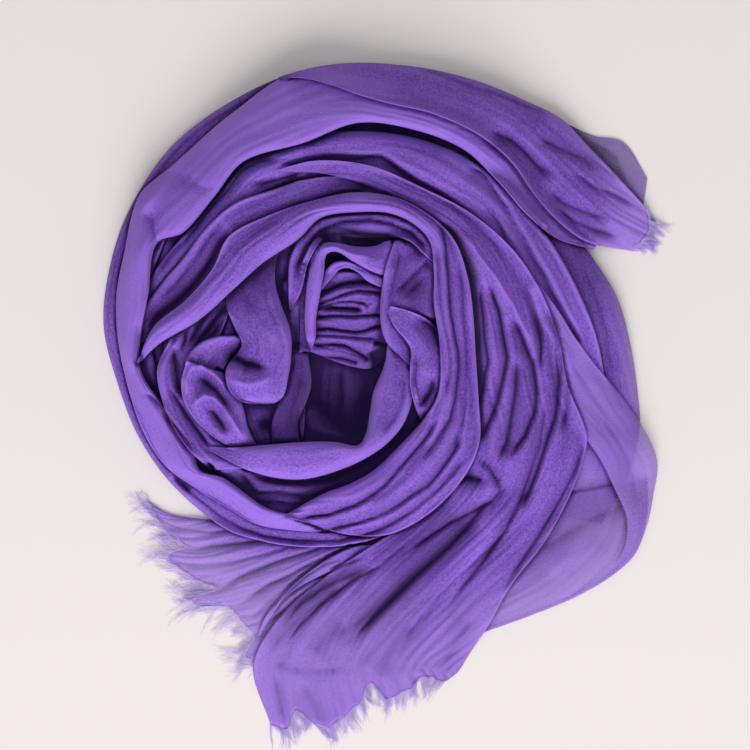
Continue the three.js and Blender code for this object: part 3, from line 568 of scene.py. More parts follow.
# %% One piece of cloth
def cut_of(stretch):
    """Mean width and length that the stretch was cut to, in metres, with its folds and sides laid flat."""
    points = np.stack(stretch.rolled[:3], axis=-1)
    along, across = np.diff(points, axis=0), np.diff(points, axis=1)
    area = np.linalg.norm(np.cross(along[:, :-1], across[:-1]), axis=-1).sum()
    length = np.linalg.norm(along, axis=-1).sum(axis=0).mean()
    return area / length * MM, length * MM


def make_sheet(stretch, material):
    """The stretch's piece: a thin shell of cloth."""
    x, y, z, across, along = stretch.rolled
    points = np.stack([x, y, z], axis=-1).reshape(-1, 3)
    faces = facing_up(points, grid_faces(*x.shape))
    uvs = np.stack([across, along], axis=-1).reshape(-1, 2) / UV_UNIT
    piece = new_mesh(stretch.table["name"], points, faces, uvs)
    piece.data.materials.append(material)
    thicken(piece, SHELL)
    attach(piece, "root")
    if "replaces" in stretch.table:
        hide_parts(*stretch.table["replaces"])
    return piece


print("a stretch becomes one piece that rides on the root")

# %% [markdown]
# ## The stretches
#
# From the table upwards. Sections: outer edge x and y, inner edge x and y. Heights: section, outer edge,
# inner edge, rise of the crown. Creases: rows of section, place across from 0 to 1, depth. Grooves: points
# on the map with a depth, and how far they open to the left and right of their line; a depth below nothing
# raises a ridge instead. A tone, of a whole stretch or of one groove, is painted shade, or painted light
# where it is below nothing; a groove without one is painted with shade by its depth.

# %% Keeping the tables
STRETCHES = {}


def groove(line, depth, reach, **more):
    """A groove along a line on the map, that opens by its reach to the left and to the right."""
    return {"line": line, "depth": depth, "reach": reach, **more}


def keep(table):
    """Keeps the table of a stretch under its name, and prints what it holds."""
    STRETCHES[table["name"]] = {"held": "gathered", "rests_on": ["cloth_hidden_layers"], **table}
    grooves = len(table.get("grooves", ()))
    print(table["name"], "with", len(table["sections"]), "sections and", grooves, "grooves")


print("no stretches yet:", STRETCHES)

# %% [markdown]
# ## The lowest stretches
#
# These lie on the table or on the hidden layers. The order from the table upwards is the order in which
# they are laid later.

# %% [markdown]
# ### The layer at the foot of the rim
#
# Under the left side of the coil one more turn of cloth shows as a narrow band on the table. It could be
# a copy of the turn above it, scaled up, but its edge is uneven in its own way, so it has its own
# sections. Two long grooves give the doubled edge at the lower left.

# %% The layer at the foot of the rim
keep({
    "name": "cloth_rim_layer",
    "replaces": ["rim_layer_lower", "rim_layer_lower_top"],
    "sections": [
        (34, -71, 20, -50), (10, -87, 0, -64), (-20, -97.5, -20, -72), (-60, -99.5, -56, -78),
         (-90, -94.5, -82, -72), (-112, -86.5, -98, -66), (-148, -57, -128, -38), (-172, -23, -148, -8),
         (-187, 15, -158, 20), (-196.5, 54, -164, 54), (-193, 92, -162, 86), (-180, 133, -150, 120),
         (-151, 178, -128, 154), (-112, 209, -94, 180), (-62, 232, -54, 204), (-10, 236, 0, 206),
    ],
    "heights": [(0, 1, 14, 6), (4, 1, 14, 6), (8, 1, 13, 7), (15, 1, 13, 7)],
    "creases": [[(7, 0.14, 0), (10, 0.12, 2), (15, 0.2, 2)]],
    "grooves": [
        groove([(10, -80.5), (0, -86), (-10, -90.5), (-30, -95), (-60, -96.5), (-84, -92), (-100, -87),
         (-112, -80), (-124, -71), (-136, -61), (-150, -50)], 3.5, (1.2, 2.5)),
        groove([(-134, -60), (-141, -54), (-148, -49)], 5, (2, 2), fade=(4, 4)),
    ],
    "tuck": (20, 0),
})

# %% [markdown]
# ### The floor of the hollow
#
# In the middle of the coil one looks down on a loose layer in deep shade. A dark flat disc would do from
# above, but not from the side, so it is a real sheet with three soft folds, low in the hollow. Shade is
# painted on it as well, because hardly any light gets down there.

# %% The floor of the hollow
keep({
    "name": "cloth_hollow_floor",
    "replaces": ["hollow_floor"],
    "sections": [
        (-62, 50, 4, 50), (-66, 22, 8, 22), (-68, 0, 6, -2), (-66, -22, -2, -24), (-60, -42, -12, -42),
    ],
    "heights": [(0, 10, 10, -4), (2, 11, 9, -6), (4, 16, 16, -2)],
    "grooves": [
        groove([(-30, 24), (-29, 6), (-30, -14)], 1.5, (1, 6), fade=(3, 3), tone=0.3),
        groove([(-52, 4), (-44, -6), (-34, -14), (-22, -17)], 4, (5, 1.2)),
        groove([(-52, -6), (-40, -16), (-24, -22), (-12, -24)], 3, (4, 1.2)),
    ],
    "wrinkle": 0.8,
    "tone": 0.7,
})

# %% [markdown]
# ### The sheet behind the petals
#
# On the left the hollow widens into a bowl, lined with one soft sheet. It shows between the folds that
# stand in it. It could be left out where it is covered, but then the gaps would show the heap, so it runs
# on under all of them.

# %% The sheet behind the petals
keep({
    "name": "cloth_left_bowl",
    "replaces": ["left_bowl_sheet"],
    "sections": [
        (-132, 96, -52, 128), (-144, 70, -50, 92), (-152, 46, -50, 60), (-154, 20, -53, 32),
         (-148, -6, -55, 4), (-132, -30, -56, -18), (-112, -46, -58, -36),
    ],
    "heights": [(0, 22, 18, 3), (2, 22, 16, 5), (4, 22, 14, 4), (6, 22, 16, 4)],
    "grooves": [
        groove([(-66, 60), (-70, 72), (-73, 84), (-64, 96), (-58, 110)], 7, (4, 3)),
        groove([(-60, 60), (-62, 80), (-56, 100), (-50, 116)], -3, (3, 3)),
        groove([(-54, 70), (-57, 90), (-50, 108)], 5, (2, 2)),
        groove([(-92, -12), (-84, -14), (-78, -22)], 7, (5, 5)),
    ],
    "wrinkle": 1.1,
})

# %% [markdown]
# ### The sheet under the right side
#
# At the right a single layer runs down from the coil and lies nearly flat. Its selvedge is a plain edge,
# so its sides aren't rolled under. One layer lets some light through, so it gets the sheer finish.

# %% The sheet under the right side
keep({
    "name": "cloth_right_under",
    "replaces": ["right_under_sheet"],
    "sections": [
        (96, 156, 70, 122), (124, 130, 88, 104), (148, 99, 100, 86), (163, 74, 110, 62), (172, 42, 118, 38),
         (177, 10, 122, 8), (178.5, -18, 124, -22), (170, -52, 120, -50), (152, -84, 108, -76),
    ],
    "heights": [(0, 4, 27, 9), (3, 1, 25, 10), (5, 1, 15, 6), (6, 1, 6, 2), (8, 1, 4, 2)],
    "grooves": [
        groove([(136, 96), (147, 76), (154, 50), (158, 20)], 2.5, (5, 1.5)),
        # The next two are painted light: a ridge down the sheet and a broad place near its foot are painted
        # paler.
        groove([(150, 90), (162, 62), (168, 30), (170, 0), (168, -24)], -1, (9, 9), tone=-0.35),
        groove([(134, -20), (140, -42), (146, -60)], 1, (14, 14), tone=-0.9, fade=(6, 6)),
    ],
    "rolled": (0, 0),
    "material": "sheer",
    "wrinkle": 0.6,
    "held": "draped",
})

# %% [markdown]
# ### The left end
#
# One end of the shawl comes out from under the coil and spreads over the table in lobes. Cutting the
# lobes out of a flat plane would leave the folds behind, so the creases run along the cloth and the hem
# table draws its last rows out to the tips of the lobes. Its yarns are sown on that same hem.

# %% The left end
keep({
    "name": "cloth_left_end",
    "replaces": ["lower_left_end"],
    "sections": [
        (-30, -66, 26, -106), (-66, -78, -14, -122), (-98, -82, -38, -136), (-120, -81, -52, -149),
         (-138, -79, -64, -162), (-152, -76, -76, -174), (-165, -68, -88, -184),
    ],
    "heights": [(0, 6, 4, 5), (2, 3, 2, 7), (4, 1, 1, 6), (6, 0.8, 0.8, 3)],
    "creases": [
        [(0, 0.12, 1), (3, 0.12, 2), (6, 0.1, 1)], [(0, 0.26, 2), (3, 0.25, 6), (6, 0.24, 1)],
        [(0, 0.36, 2), (3, 0.38, 3), (6, 0.38, 1)], [(0, 0.45, 3), (3, 0.5, 8), (6, 0.53, 1.5)],
        [(0, 0.6, 5), (3, 0.64, 6), (6, 0.65, 1)], [(0, 0.7, 3), (3, 0.73, 2), (6, 0.75, 1)],
        [(0, 0.8, 4), (3, 0.84, 5), (6, 0.85, 1)],
    ],
    "hem": [
        (0, 0), (0.1, 3), (0.2, 2), (0.25, -8), (0.36, 14), (0.46, 4), (0.53, -8), (0.575, 15), (0.6, 13),
         (0.65, -7), (0.74, -8), (0.85, -10), (0.92, 3), (1, 0),
    ],
    "fringe": {"name": "yarns_left_end", "replaces": "fringe_left", "strands": 430, "length": 22},
    "rolled": (1, 0),
    "room": THIN_ROOM,
    "material": "sheer",
    "detail": 1.2,
})

# %% [markdown]
# ### The lower sheet of the loop
#
# At the lower right the cloth turns back on itself, and its lower layer lies flat on the table. It is one
# sheet with two faint folds, sheer enough for the table to show through, and painted paler as the light
# that comes through a single layer. Painted shade lies along its first fold and a little over all of it,
# and painted light along the second.

# %% The lower sheet of the loop
keep({
    "name": "cloth_loop_under",
    "replaces": ["right_loop_under"],
    "rests_on": ["cloth_right_under"],
    "sections": [
        (184, -52, 112, -66), (184, -78, 108, -76), (176, -104, 100, -88), (161, -119, 88, -104),
         (134, -135, 74, -120), (104, -147.5, 60, -134), (68, -160.5, 50, -148),
    ],
    "heights": [(0, 1, 6, 2), (3, 0.8, 5, 4), (6, 0.8, 4, 2)],
    "grooves": [
        groove([(172, -70), (150, -78), (128, -90), (104, -104)], 2, (4, 6), tone=0.3),
        groove([(150, -98), (130, -108), (110, -118)], -1.5, (8, 8), tone=-0.4),
    ],
    "rolled": (1, 0),
    "room": THIN_ROOM,
    "material": "sheer",
    "tone": 0.12,
    "wrinkle": 0.7,
    "held": "laid",
})

# %% [markdown]
# ## The turns of the coil
#
# The shawl is wound about three times. Each turn is its own long stretch, because folds differ
# from turn to turn, and the next one has to ride up over the last.

# %% [markdown]
# ### The second turn
#
# Inside the outer turn runs the next one, gathered into long ropes of folds. A rope could be made as a
# tube, but then it couldn't open out into the flatter cloth at the right. Here the long grooves part the
# ropes, and each opens wide on one side and stays steep on the other, as a fold does that leans over.

# %% The second turn
keep({
    "name": "cloth_second_turn",
    "replaces": ["second_turn_left", "second_turn_right"],
    "sections": [
        (-168, 62, -166, 58), (-162, 88, -152, 70), (-150, 106, -138, 90), (-134, 124, -118, 108),
         (-114, 148, -100, 130), (-96, 168, -84, 146), (-70, 178, -66, 154), (-45, 188, -43, 158),
         (-15, 190, -12, 157), (20, 186, 12, 154), (50, 175, 36, 142), (76, 158, 58, 128),
         (96, 136, 74, 110), (116, 112, 88, 88), (134, 80, 104, 66), (147, 48, 120, 46), (152, 26, 130, 24),
         (154, 10, 140, 2),
    ],
    "heights": [
        (0, 19, 19, 2), (4, 22, 24, 9), (8, 22, 24, 10), (11, 19, 20, 14), (13, 16, 17, 17),
         (16, 8, 10, 11),
    ],
    "grooves": [
        groove([(-158, 92), (-148, 106), (-138, 114), (-130, 124), (-120, 137), (-108, 150), (-100, 162),
         (-88, 168), (-72, 171)], 7, (4, 2.5), tone=-0.3),
        groove([(-152, 82), (-142, 95), (-132, 108), (-118, 124), (-106, 138)], 6, (1.5, 3)),
        groove([(-96, 152), (-82, 154), (-66, 158), (-56, 162)], 6, (2, 6)),
        groove([(-74, 166), (-58, 169), (-40, 172), (-20, 172), (-3, 172), (9, 164), (20, 157), (30, 151),
         (42, 143), (54, 134), (66, 124), (74, 112)], 8, (1.2, 6)),
        groove([(-62, 180), (-48, 187), (-34, 193), (-15, 194), (10, 190), (34, 184), (50, 177)], 8,
         (4, 4)),
        groove([(56, 169), (68, 160), (75, 150), (85, 136), (95, 118), (105, 99), (112, 87), (121, 69),
         (131, 52), (139, 40)], 8, (1.2, 6), tone=-0.35),
        groove([(70, 140), (80, 124), (88, 106), (98, 86)], 4, (1.5, 4)),
    ],
    # The stretch is painted a little paler, as light, and so are the ropes along two of its grooves.
    "tone": -0.1,
    "tuck": (25, 10),
})

# %% [markdown]
# ### The outer turn
#
# The outermost turn is the widest band of cloth, smooth and pale on top, with a soft bend at the left. It
# is one long stretch from the foot of the coil round to the upper right. A ridge along its middle gives
# the fullness. Its paleness is painted light, strongest on two broad ridges, where the light falls on it.

# %% The outer turn
keep({
    "name": "cloth_outer_turn",
    "replaces": ["outer_turn_left", "outer_turn_top"],
    "rests_on": ["cloth_rim_layer"],
    "sections": [
        (0, -76, 6, -62), (-22, -84, -18, -68), (-46, -88.5, -42, -73), (-68, -87.5, -66, -76),
         (-88, -84, -83, -71.5), (-108, -73, -98, -61), (-134, -57, -112, -51), (-153, -43, -128, -46),
         (-168, -20, -134, -29), (-178, 8, -153, -2), (-186, 46, -170, 26), (-187, 76, -164, 76),
         (-181, 108, -158, 112), (-171, 146, -140, 119), (-147, 167, -118, 144), (-106, 203, -98, 168),
         (-62, 231, -56, 181), (-17, 226, -18, 195), (23, 214, 22, 190), (62, 199, 56, 176),
         (92, 178, 78, 155), (115, 153, 99, 131), (136, 131, 120, 115), (153, 117, 146, 108),
    ],
    "heights": [
        (0, 14, 20, 3), (3, 11, 22, 7), (6, 6, 22, 12), (10, 5, 20, 15), (13, 5, 26, 16), (16, 13, 33, 9),
         (19, 16, 24, 11), (22, 1, 1, 7),
    ],
    "grooves": [
        groove([(-180, 112), (-185, 90), (-187.5, 68), (-187, 52), (-184.5, 32), (-179, 10), (-172, -6),
         (-160, -32), (-150, -44)], 2.5, (1.2, 1.2)),
        groove([(-172, 136), (-162, 128), (-158, 112), (-159, 98)], 7, (7, 4)),
        groove([(-150, 165), (-138, 156), (-124, 150), (-112, 152)], 2.5, (6, 6)),
        groove([(-172, 60), (-170, 40), (-169, 26)], 4, (3, 3)),
        groove([(-170, 9), (-161, 4), (-151, -7)], 5, (4, 1.2)),
        groove([(-130, 178), (-108, 196), (-64, 204), (-24, 206), (16, 198), (48, 188)], -1, (12, 12),
         tone=-0.4),
        groove([(-176, 20), (-179, 60), (-176, 104), (-166, 138), (-148, 162), (-122, 186), (-92, 208),
         (-60, 226)], -2, (6, 9), tone=-0.45),
    ],
    "tone": -0.45,
    "wrinkle": 0.7,
    "tuck": (30, 14),
})

# %% [markdown]
# ### The corner of the upper end
#
# At the upper right a corner of a single layer sticks out beyond the fringe. It needs no crown and no
# rolled sides, only a faint inner fold line and the sheer finish. The corner and its fold line are painted
# darker, as shade.

# %% The corner of the upper end
keep({
    "name": "cloth_upper_flap",
    "replaces": ["upper_end_flap"],
    "rests_on": [],
    "sections": [(128, 196, 118, 160), (146, 188, 140, 148), (167, 183.5, 158, 142), (184, 158, 181, 137)],
    "heights": [(0, 1, 5, 2), (3, 0.8, 0.8, 1.5)],
    "grooves": [
        groove([(134, 188), (150, 181), (162, 172), (168, 158), (169, 142)], 1, (1, 5), tone=0.5),
    ],
    "tone": 0.5,
    "rolled": (0, 0),
    "room": THIN_ROOM,
    "material": "sheer",
    "wrinkle": 0.5,
    "held": "laid",
})

# %% [markdown]
# ### The upper end
#
# The other end of the shawl comes over the top of the coil and tapers to a fringed edge at the right. It
# starts as a point that lies on the outer turn, because in the real shawl both are the same cloth there.
# Its folds fan out towards the fringe, so they are drawn one by one.

# %% The upper end
keep({
    "name": "cloth_top_sheet",
    "replaces": ["top_sheet", "upper_end"],
    "rests_on": ["cloth_outer_turn"],
    "sections": [
        (-74, 227.5, -73, 227), (-60, 232, -54, 226), (-46, 236, -36, 221), (-26, 238.5, -20, 215),
         (2, 238, 4, 208), (34, 234, 34, 201), (68, 225, 66, 186), (97, 213, 88, 168), (123, 200, 105, 144),
         (143, 180, 122, 126), (163, 159, 142, 113), (185, 135, 174, 107),
    ],
    "heights": [(0, 10, 14, 0), (1, 6, 17, 3), (3, 2, 19, 9), (6, 1, 14, 16), (9, 2, 6, 12), (11, 1, 1, 3)],
    "grooves": [
        groove([(20, 233), (40, 229), (60, 221), (80, 215), (100, 207), (118, 200)], 3, (3, 1.5)),
        groove([(70, 192), (88, 184), (98, 176), (108, 166), (120, 158)], 6, (3, 9)),
        groove([(106, 190), (112, 182), (124, 178), (138, 172), (150, 161)], 4, (8, 3)),
        groove([(112, 150), (126, 140), (142, 133), (160, 128)], 4, (4, 3)),
        groove([(130, 163), (146, 152), (164, 144), (176, 139)], 3, (3, 3)),
        groove([(118, 138), (132, 128), (148, 121), (166, 116)], 3, (3, 2)),
        # The last two are painted light: a broad ridge, and the start, which is painted as pale as the outer
        # turn.
        groove([(-60, 226), (-30, 226), (0, 222), (34, 214), (62, 202), (86, 184)], -1.5, (8, 8),
         tone=-0.3),
        groove([(-76, 228), (-52, 226), (-26, 219), (0, 211), (16, 206)], 0, (16, 10), tone=-0.45,
         fade=(1, 24)),
    ],
    "hem": [(0, -3), (0.15, 2), (0.4, 5), (0.7, 3), (1, -3)],
    "fringe": {"name": "yarns_upper_end", "replaces": "fringe_upper", "strands": 260, "length": 14},
    "tuck": (34, 0),
    "wrinkle": 0.8,
})

# %% [markdown]
# ### The inner sheet at the left
#
# Between the second turn and the petals a sheet runs round the left side as a narrow rope. Its two ends
# taper to nothing under what covers them, which avoids a cut edge that the real cloth doesn't have.

# %% The inner sheet at the left
keep({
    "name": "cloth_left_inner",
    "replaces": ["left_inner_sheet"],
    "rests_on": ["cloth_left_bowl"],
    "sections": [
        (-172, 48, -170, 42), (-166, 68, -154, 52), (-153, 86, -136, 66), (-140, 101, -116, 86),
         (-122, 124, -102, 106), (-104, 139, -88, 118), (-80, 148, -70, 126), (-55, 156, -48, 136),
         (-25, 158, -22, 142), (6, 152, 4, 143),
    ],
    "heights": [(0, 24, 24, 1), (4, 27, 25, 10), (7, 23, 22, 10), (9, 19, 19, 5)],
    "grooves": [
        groove([(-166, 52), (-156, 61), (-144, 70), (-132, 82), (-122, 95), (-114, 110), (-104, 119)], 9,
         (6, 2)),
        groove([(-158, 72), (-146, 82), (-134, 97), (-124, 112), (-112, 128)], 3.5, (1.2, 3)),
        groove([(-74, 130), (-60, 134), (-48, 140), (-30, 146), (-10, 146), (4, 144)], 6, (1.2, 5)),
    ],
    "tuck": (18, 24),
})

# %% [markdown]
# ### The pleats of the third turn
#
# The third turn comes over the top, spreads out on the right side in eight steep pleats and leaves the
# coil as the fan. Every pleat is uneven in length and depth, so each valley is drawn, and none is copied.

# %% The pleats
pleats = [
    groove([(36, 126), (48, 115), (57, 100), (60, 90), (62, 60), (63, 40), (64, 20), (63, -5), (58, -30),
     (46, -52)], 12, (3, 8)),
    groove([(66, 84), (69, 50), (71.5, 30), (68, 10), (63, -8)], 6, (1.2, 3.5)),
    groove([(72, 86), (79, 66), (83, 48), (85, 33), (82, 15), (76, -5), (66, -27)], 7, (1.4, 4)),
    groove([(56, 120), (64, 104), (76, 88), (85, 76), (92, 63), (98, 50), (100, 40)], -4, (4, 5)),
    groove([(88, 62), (97, 43), (103, 30), (106, 12), (105, -5), (98, -22), (86, -38)], 7, (1.4, 5)),
    groove([(106, 66), (108.5, 40), (107.5, 22)], 5, (2, 2.5)),
    groove([(115, 72), (121, 44), (122, 15), (119, -10), (110, -35), (102, -60), (95, -74)], 7, (1.4, 4.5)),
    groove([(124, 40), (127, 15), (127, -4), (122, -22)], 4, (2, 2.5)),
    groove([(92, 34), (91, 10), (88, -8), (85, -26), (78, -40)], 7, (4.5, 3)),
    groove([(62, -36), (72, -43), (79, -54), (81, -60), (74, -68), (64, -74)], 6, (5, 2.6)),
    groove([(44, -50), (58, -50), (74, -56)], 8, (4, 4)),
]
print(len(pleats), "grooves part the pleats")

# %% [markdown]
# ### The folds of the fan
#
# Below the coil the pleats run out into a flat fan of a single layer. Its folds are low and broad and
# fade out before the hem, so they have long fades. All are painted with shade, one with light, and some
# are little more than painted shade, where one layer lies closer to the next.

# %% The folds of the fan
fan_folds = [
    groove([(112, 6), (109, -25), (102, -46), (95, -67), (84, -88), (70, -109), (53, -130), (36, -150)],
     4.5, (1.4, 5), fade=(20, 40)),
    groove([(141, -22), (133, -46), (123, -66), (109, -90), (95, -111), (80, -134)], 4, (1.4, 4),
     fade=(20, 30)),
    groove([(72, -68), (60, -83), (50, -94), (40, -104), (30, -113), (20, -122), (10, -132), (0, -142),
     (-15, -157), (-30, -172)], 7, (3, 4.5), fade=(10, 40)),
    groove([(78, -66), (60, -76), (46, -83), (28, -95), (8, -108)], 4, (1.4, 4), fade=(12, 24)),
    groove([(90, -84), (72, -102), (52, -120), (34, -138), (18, -158), (8, -176)], 3, (5, 1.6),
     fade=(20, 30)),
    groove([(0, -112), (-20, -122), (-44, -140), (-60, -156), (-72, -172)], 3.5, (1.4, 4), fade=(14, 24)),
    groove([(-12, -106), (-26, -111), (-50, -122), (-68, -136)], 3, (1.2, 2)),
    groove([(-2, -111), (-20, -118), (-40, -127), (-58, -139), (-74, -158)], 2.5, (3, 11), tone=0.8,
     fade=(26, 26)),
    groove([(66, -78), (44, -98), (20, -118), (0, -138), (-20, -154), (-40, -166)], 2, (8, 10), tone=0.65,
     fade=(14, 30)),
    groove([(98, -76), (78, -104), (56, -128), (36, -150)], 1.5, (8, 8), tone=0.1, fade=(20, 30)),
    groove([(84, -70), (70, -94), (54, -118), (44, -140), (36, -166)], -0.8, (8, 8), tone=-0.35,
     fade=(14, 30)),
    groove([(62, -146), (50, -166), (40, -186)], 1, (7, 7), tone=0.3),
    groove([(-26, -152), (-40, -162), (-52, -176)], 0.8, (9, 9), tone=0.4, fade=(8, 8)),
    groove([(22, -150), (6, -172), (-4, -192)], 1, (5, 6), tone=0.35, fade=(10, 10)),
    groove([(-58, -196), (-48, -212), (-44, -226)], 0.8, (5, 5), tone=0.35, fade=(6, 6)),
    groove([(-76, -190), (-72, -206), (-72, -222)], 0.6, (3, 3), tone=0.3, fade=(6, 6)),
    groove([(48, -66), (20, -96), (-10, -116)], 0.5, (12, 6), tone=0.35),
    groove([(-30, -126), (-50, -142), (-66, -156), (-84, -176)], 1.5, (4, 7), tone=0.45, fade=(10, 16)),
    groove([(-78, -182), (-64, -186), (-46, -189), (-24, -184)], 1, (3, 1.2), tone=0.35, fade=(6, 16)),
]
print(len(fan_folds), "grooves on the fan")

# %% [markdown]
# ### The third turn and the fan
#
# The whole stretch, from the point where it starts on the second turn to the hem of the fan, is one cloth
# on the real shawl. It could be two sheets that meet under the ring, but one stretch keeps the pleats
# running on into the fan. The hem table gives the notches and tips of its edge, and the fringe is sown
# along it.

# %% The third turn and the fan
keep({
    "name": "cloth_third_turn",
    "replaces": ["third_turn_top", "right_pleats", "lower_end"],
    "rests_on": ["cloth_second_turn"],
    "sections": [
        (-74, 162.5, -73, 161), (-48, 168.5, -44, 160), (-10, 165, -8, 150), (26, 150, 20, 132),
         (60, 132, 44, 116), (88, 108, 54, 96), (105, 84, 58, 72), (119, 52, 60, 42), (128, 12, 62, 10),
         (141, -24, 62, -24), (134, -53, 54, -50), (113, -94, 27, -76), (88, -127, -8, -98),
         (72, -156, -42, -121), (60, -174, -71, -146), (52, -187, -92, -182), (46, -192, -80, -224),
    ],
    "heights": [
        (0, 25, 24, 0), (1, 25, 25, 5), (3, 26, 27, 9), (5, 18, 30, 15), (7, 10, 28, 15), (9, 4, 21, 13),
         (11, 3, 8, 11), (13, 1.5, 2, 8), (15, 0.8, 0.8, 4), (16, 0.8, 0.8, 2.5),
    ],
    "grooves": pleats + fan_folds,
    "hem": [
        (0, 2), (0.17, -7), (0.22, 0), (0.35, 3), (0.43, -11), (0.52, 2), (0.63, 9), (0.7, 12), (0.76, 8),
         (0.84, -5), (0.93, 6), (1, 1),
    ],
    "fringe": {"name": "yarns_lower_end", "replaces": "fringe_lower", "strands": 540, "length": 15},
    "rolled": (1, 0),
    "tuck": (40, 0),
})

# %% [markdown]
# ### The small roll at the fan
#
# At the upper edge of the fan the cloth has rolled up into a thin cord of its own. It could be a bevelled
# curve, but a narrow stretch with rolled sides keeps the weave running along it.

# %% The small roll at the fan
keep({
    "name": "cloth_small_roll",
    "rests_on": ["cloth_left_end"],
    "sections": [
        (3.5, -103, 2.5, -99), (-21, -111, -19, -99), (-40, -118, -36, -106), (-57, -126, -51, -116),
         (-72, -137, -65, -128), (-83, -149, -77, -144), (-88.5, -162.3, -87.5, -161.7),
    ],
    "heights": [(0, 4, 6, 1), (2, 3, 6, 5), (4, 2, 4, 4), (6, 1, 1.5, 0)],
    "grooves": [
        groove([(-6, -103), (-24, -106), (-42, -112), (-56, -121), (-70, -134)], 2, (1.2, 2.5)),
    ],
    "room": THIN_ROOM,
    "wrinkle": 0.4,
    "detail": 1.3,
    "tuck": (12, 0),
    "held": "folded",
})

# %% [markdown]
# ### The loop at the right
#
# The band that turns back at the right is narrow where it leaves the coil, and wide and thin where it
# bends. It is laid over the lower sheet, so that a slit stays open between them and shows the layer
# beneath.

# %% The loop at the right
keep({
    "name": "cloth_loop",
    "replaces": ["right_loop"],
    "rests_on": ["cloth_loop_under"],
    "sections": [
        (106, 84, 102, 80), (121, 64, 110, 56), (131, 48, 117, 38), (148, 26, 121, 14), (168, 2, 127, -4),
         (184, -22, 136, -18), (191, -42, 150, -38), (188.5, -62, 160, -58), (184, -84, 169, -80),
         (176, -103, 168, -98), (166, -115, 162, -111),
    ],
    "heights": [(0, 17, 17, 0), (1, 17, 16, 4), (3, 13, 16, 6), (5, 4, 12, 7), (7, 1, 9, 5), (10, 1, 4, 1)],
    "grooves": [
        groove([(126, 34), (140, 14), (152, -4), (164, -26), (174, -50), (178, -72)], 1.5, (4, 4)),
    ],
    "rolled": (0, 0),
    "room": THIN_ROOM,
    "material": "sheer",
    # The band is painted paler all over, as light on it.
    "tone": -1.0,
    "wrinkle": 0.6,
    "tuck": (14, 0),
    "held": "draped",
})

# %% [markdown]
# ### The inner turn
#
# The innermost full turn forms the ring round the hollow. It is tightly gathered, with five or six fine
# folds side by side that run into each other. They are drawn as long grooves, because creases that stay
# at one place across the cloth would look combed.

# %% The inner turn
keep({
    "name": "cloth_inner_turn",
    "replaces": ["inner_turn_left", "inner_turn_right", "ring_bottom"],
    "rests_on": ["cloth_third_turn"],
    "sections": [
        (-171.5, 29.5, -170.5, 28.5), (-160, 54, -156, 42), (-138, 72, -129, 58), (-119, 94, -104, 80),
         (-108, 116, -84, 98), (-80, 131, -60, 114), (-50, 141, -44, 129), (-20, 147, -18, 133),
         (8, 143, 4, 132), (32, 130, 21, 124), (48, 114, 31, 113), (57, 90, 34, 92), (61, 65, 34, 70),
         (63, 35, 38, 42), (65, 5, 37, 8), (66, -25, 27, -10), (57, -48, 10, -29), (34, -74, -8, -46),
         (6, -90, -24, -55), (-18, -92, -40, -61), (-38, -88, -52, -67), (-54, -82, -62, -73),
         (-68, -78, -68, -76.2),
    ],
    "heights": [
        (0, 28, 28, 0), (1, 29, 30, 7), (2, 31, 33, 11), (5, 28, 32, 14), (8, 30, 34, 11), (12, 24, 27, 18),
         (15, 8, 26, 20), (18, 2, 26, 18), (20, 6, 24, 12), (22, 14, 22, 7), (23, 17, 19, 2),
    ],
    "grooves": [
        groove([(38, 128), (42, 110), (44, 85), (46, 60), (50, 40), (51, 25), (49, 5), (45, -10), (36, -24),
         (24, -40)], 6, (3, 1.6)),
        groove([(36, 112), (36.5, 90), (39, 66), (44, 44), (45, 22), (41, 4)], 3.5, (2.5, 1.2)),
        groove([(52, 100), (54, 80), (55, 55), (57, 30), (57, 5), (54, -14), (46, -34)], 3, (1.2, 2.5)),
        groove([(56, -36), (48, -48), (40, -57), (30, -66), (20, -74), (10, -80.5), (0, -86), (-10, -90.5),
         (-30, -95), (-60, -96.5), (-90, -90)], 4.5, (1.2, 3)),
        groove([(54, -18), (50, -30), (45, -38), (38, -48), (30, -57), (20, -63), (10, -70.5), (0, -76),
         (-20, -83.5), (-40, -88), (-60, -89), (-84, -84)], 6, (1.2, 3.5)),
        groove([(38, -8), (30, -22), (20, -34), (10, -45), (0, -57), (-8, -63), (-20, -70), (-40, -77),
         (-62, -80)], 6, (1.4, 3)),
        groove([(30, -22), (24, -34), (12, -50), (2, -60), (-12, -68)], 3, (3, 1.2)),
        groove([(-110, 100), (-98, 112), (-84, 122), (-68, 130)], 2, (4, 2)),
    ],
    "tuck": (10, 16),
})

# %% [markdown]
# ## The folds of the centre
#
# What is left of the cloth stands up in the middle as short, full folds. They are drawn with more points
# than the turns.

# %% [markdown]
# ### The small folds of the bowl
#
# Between the ring and the petals the bowl's cloth is pinched into short steep folds. Each is a deep
# groove with a narrow reach. The stretch has more points than the others, because a fold this fine needs
# four or five points across it.

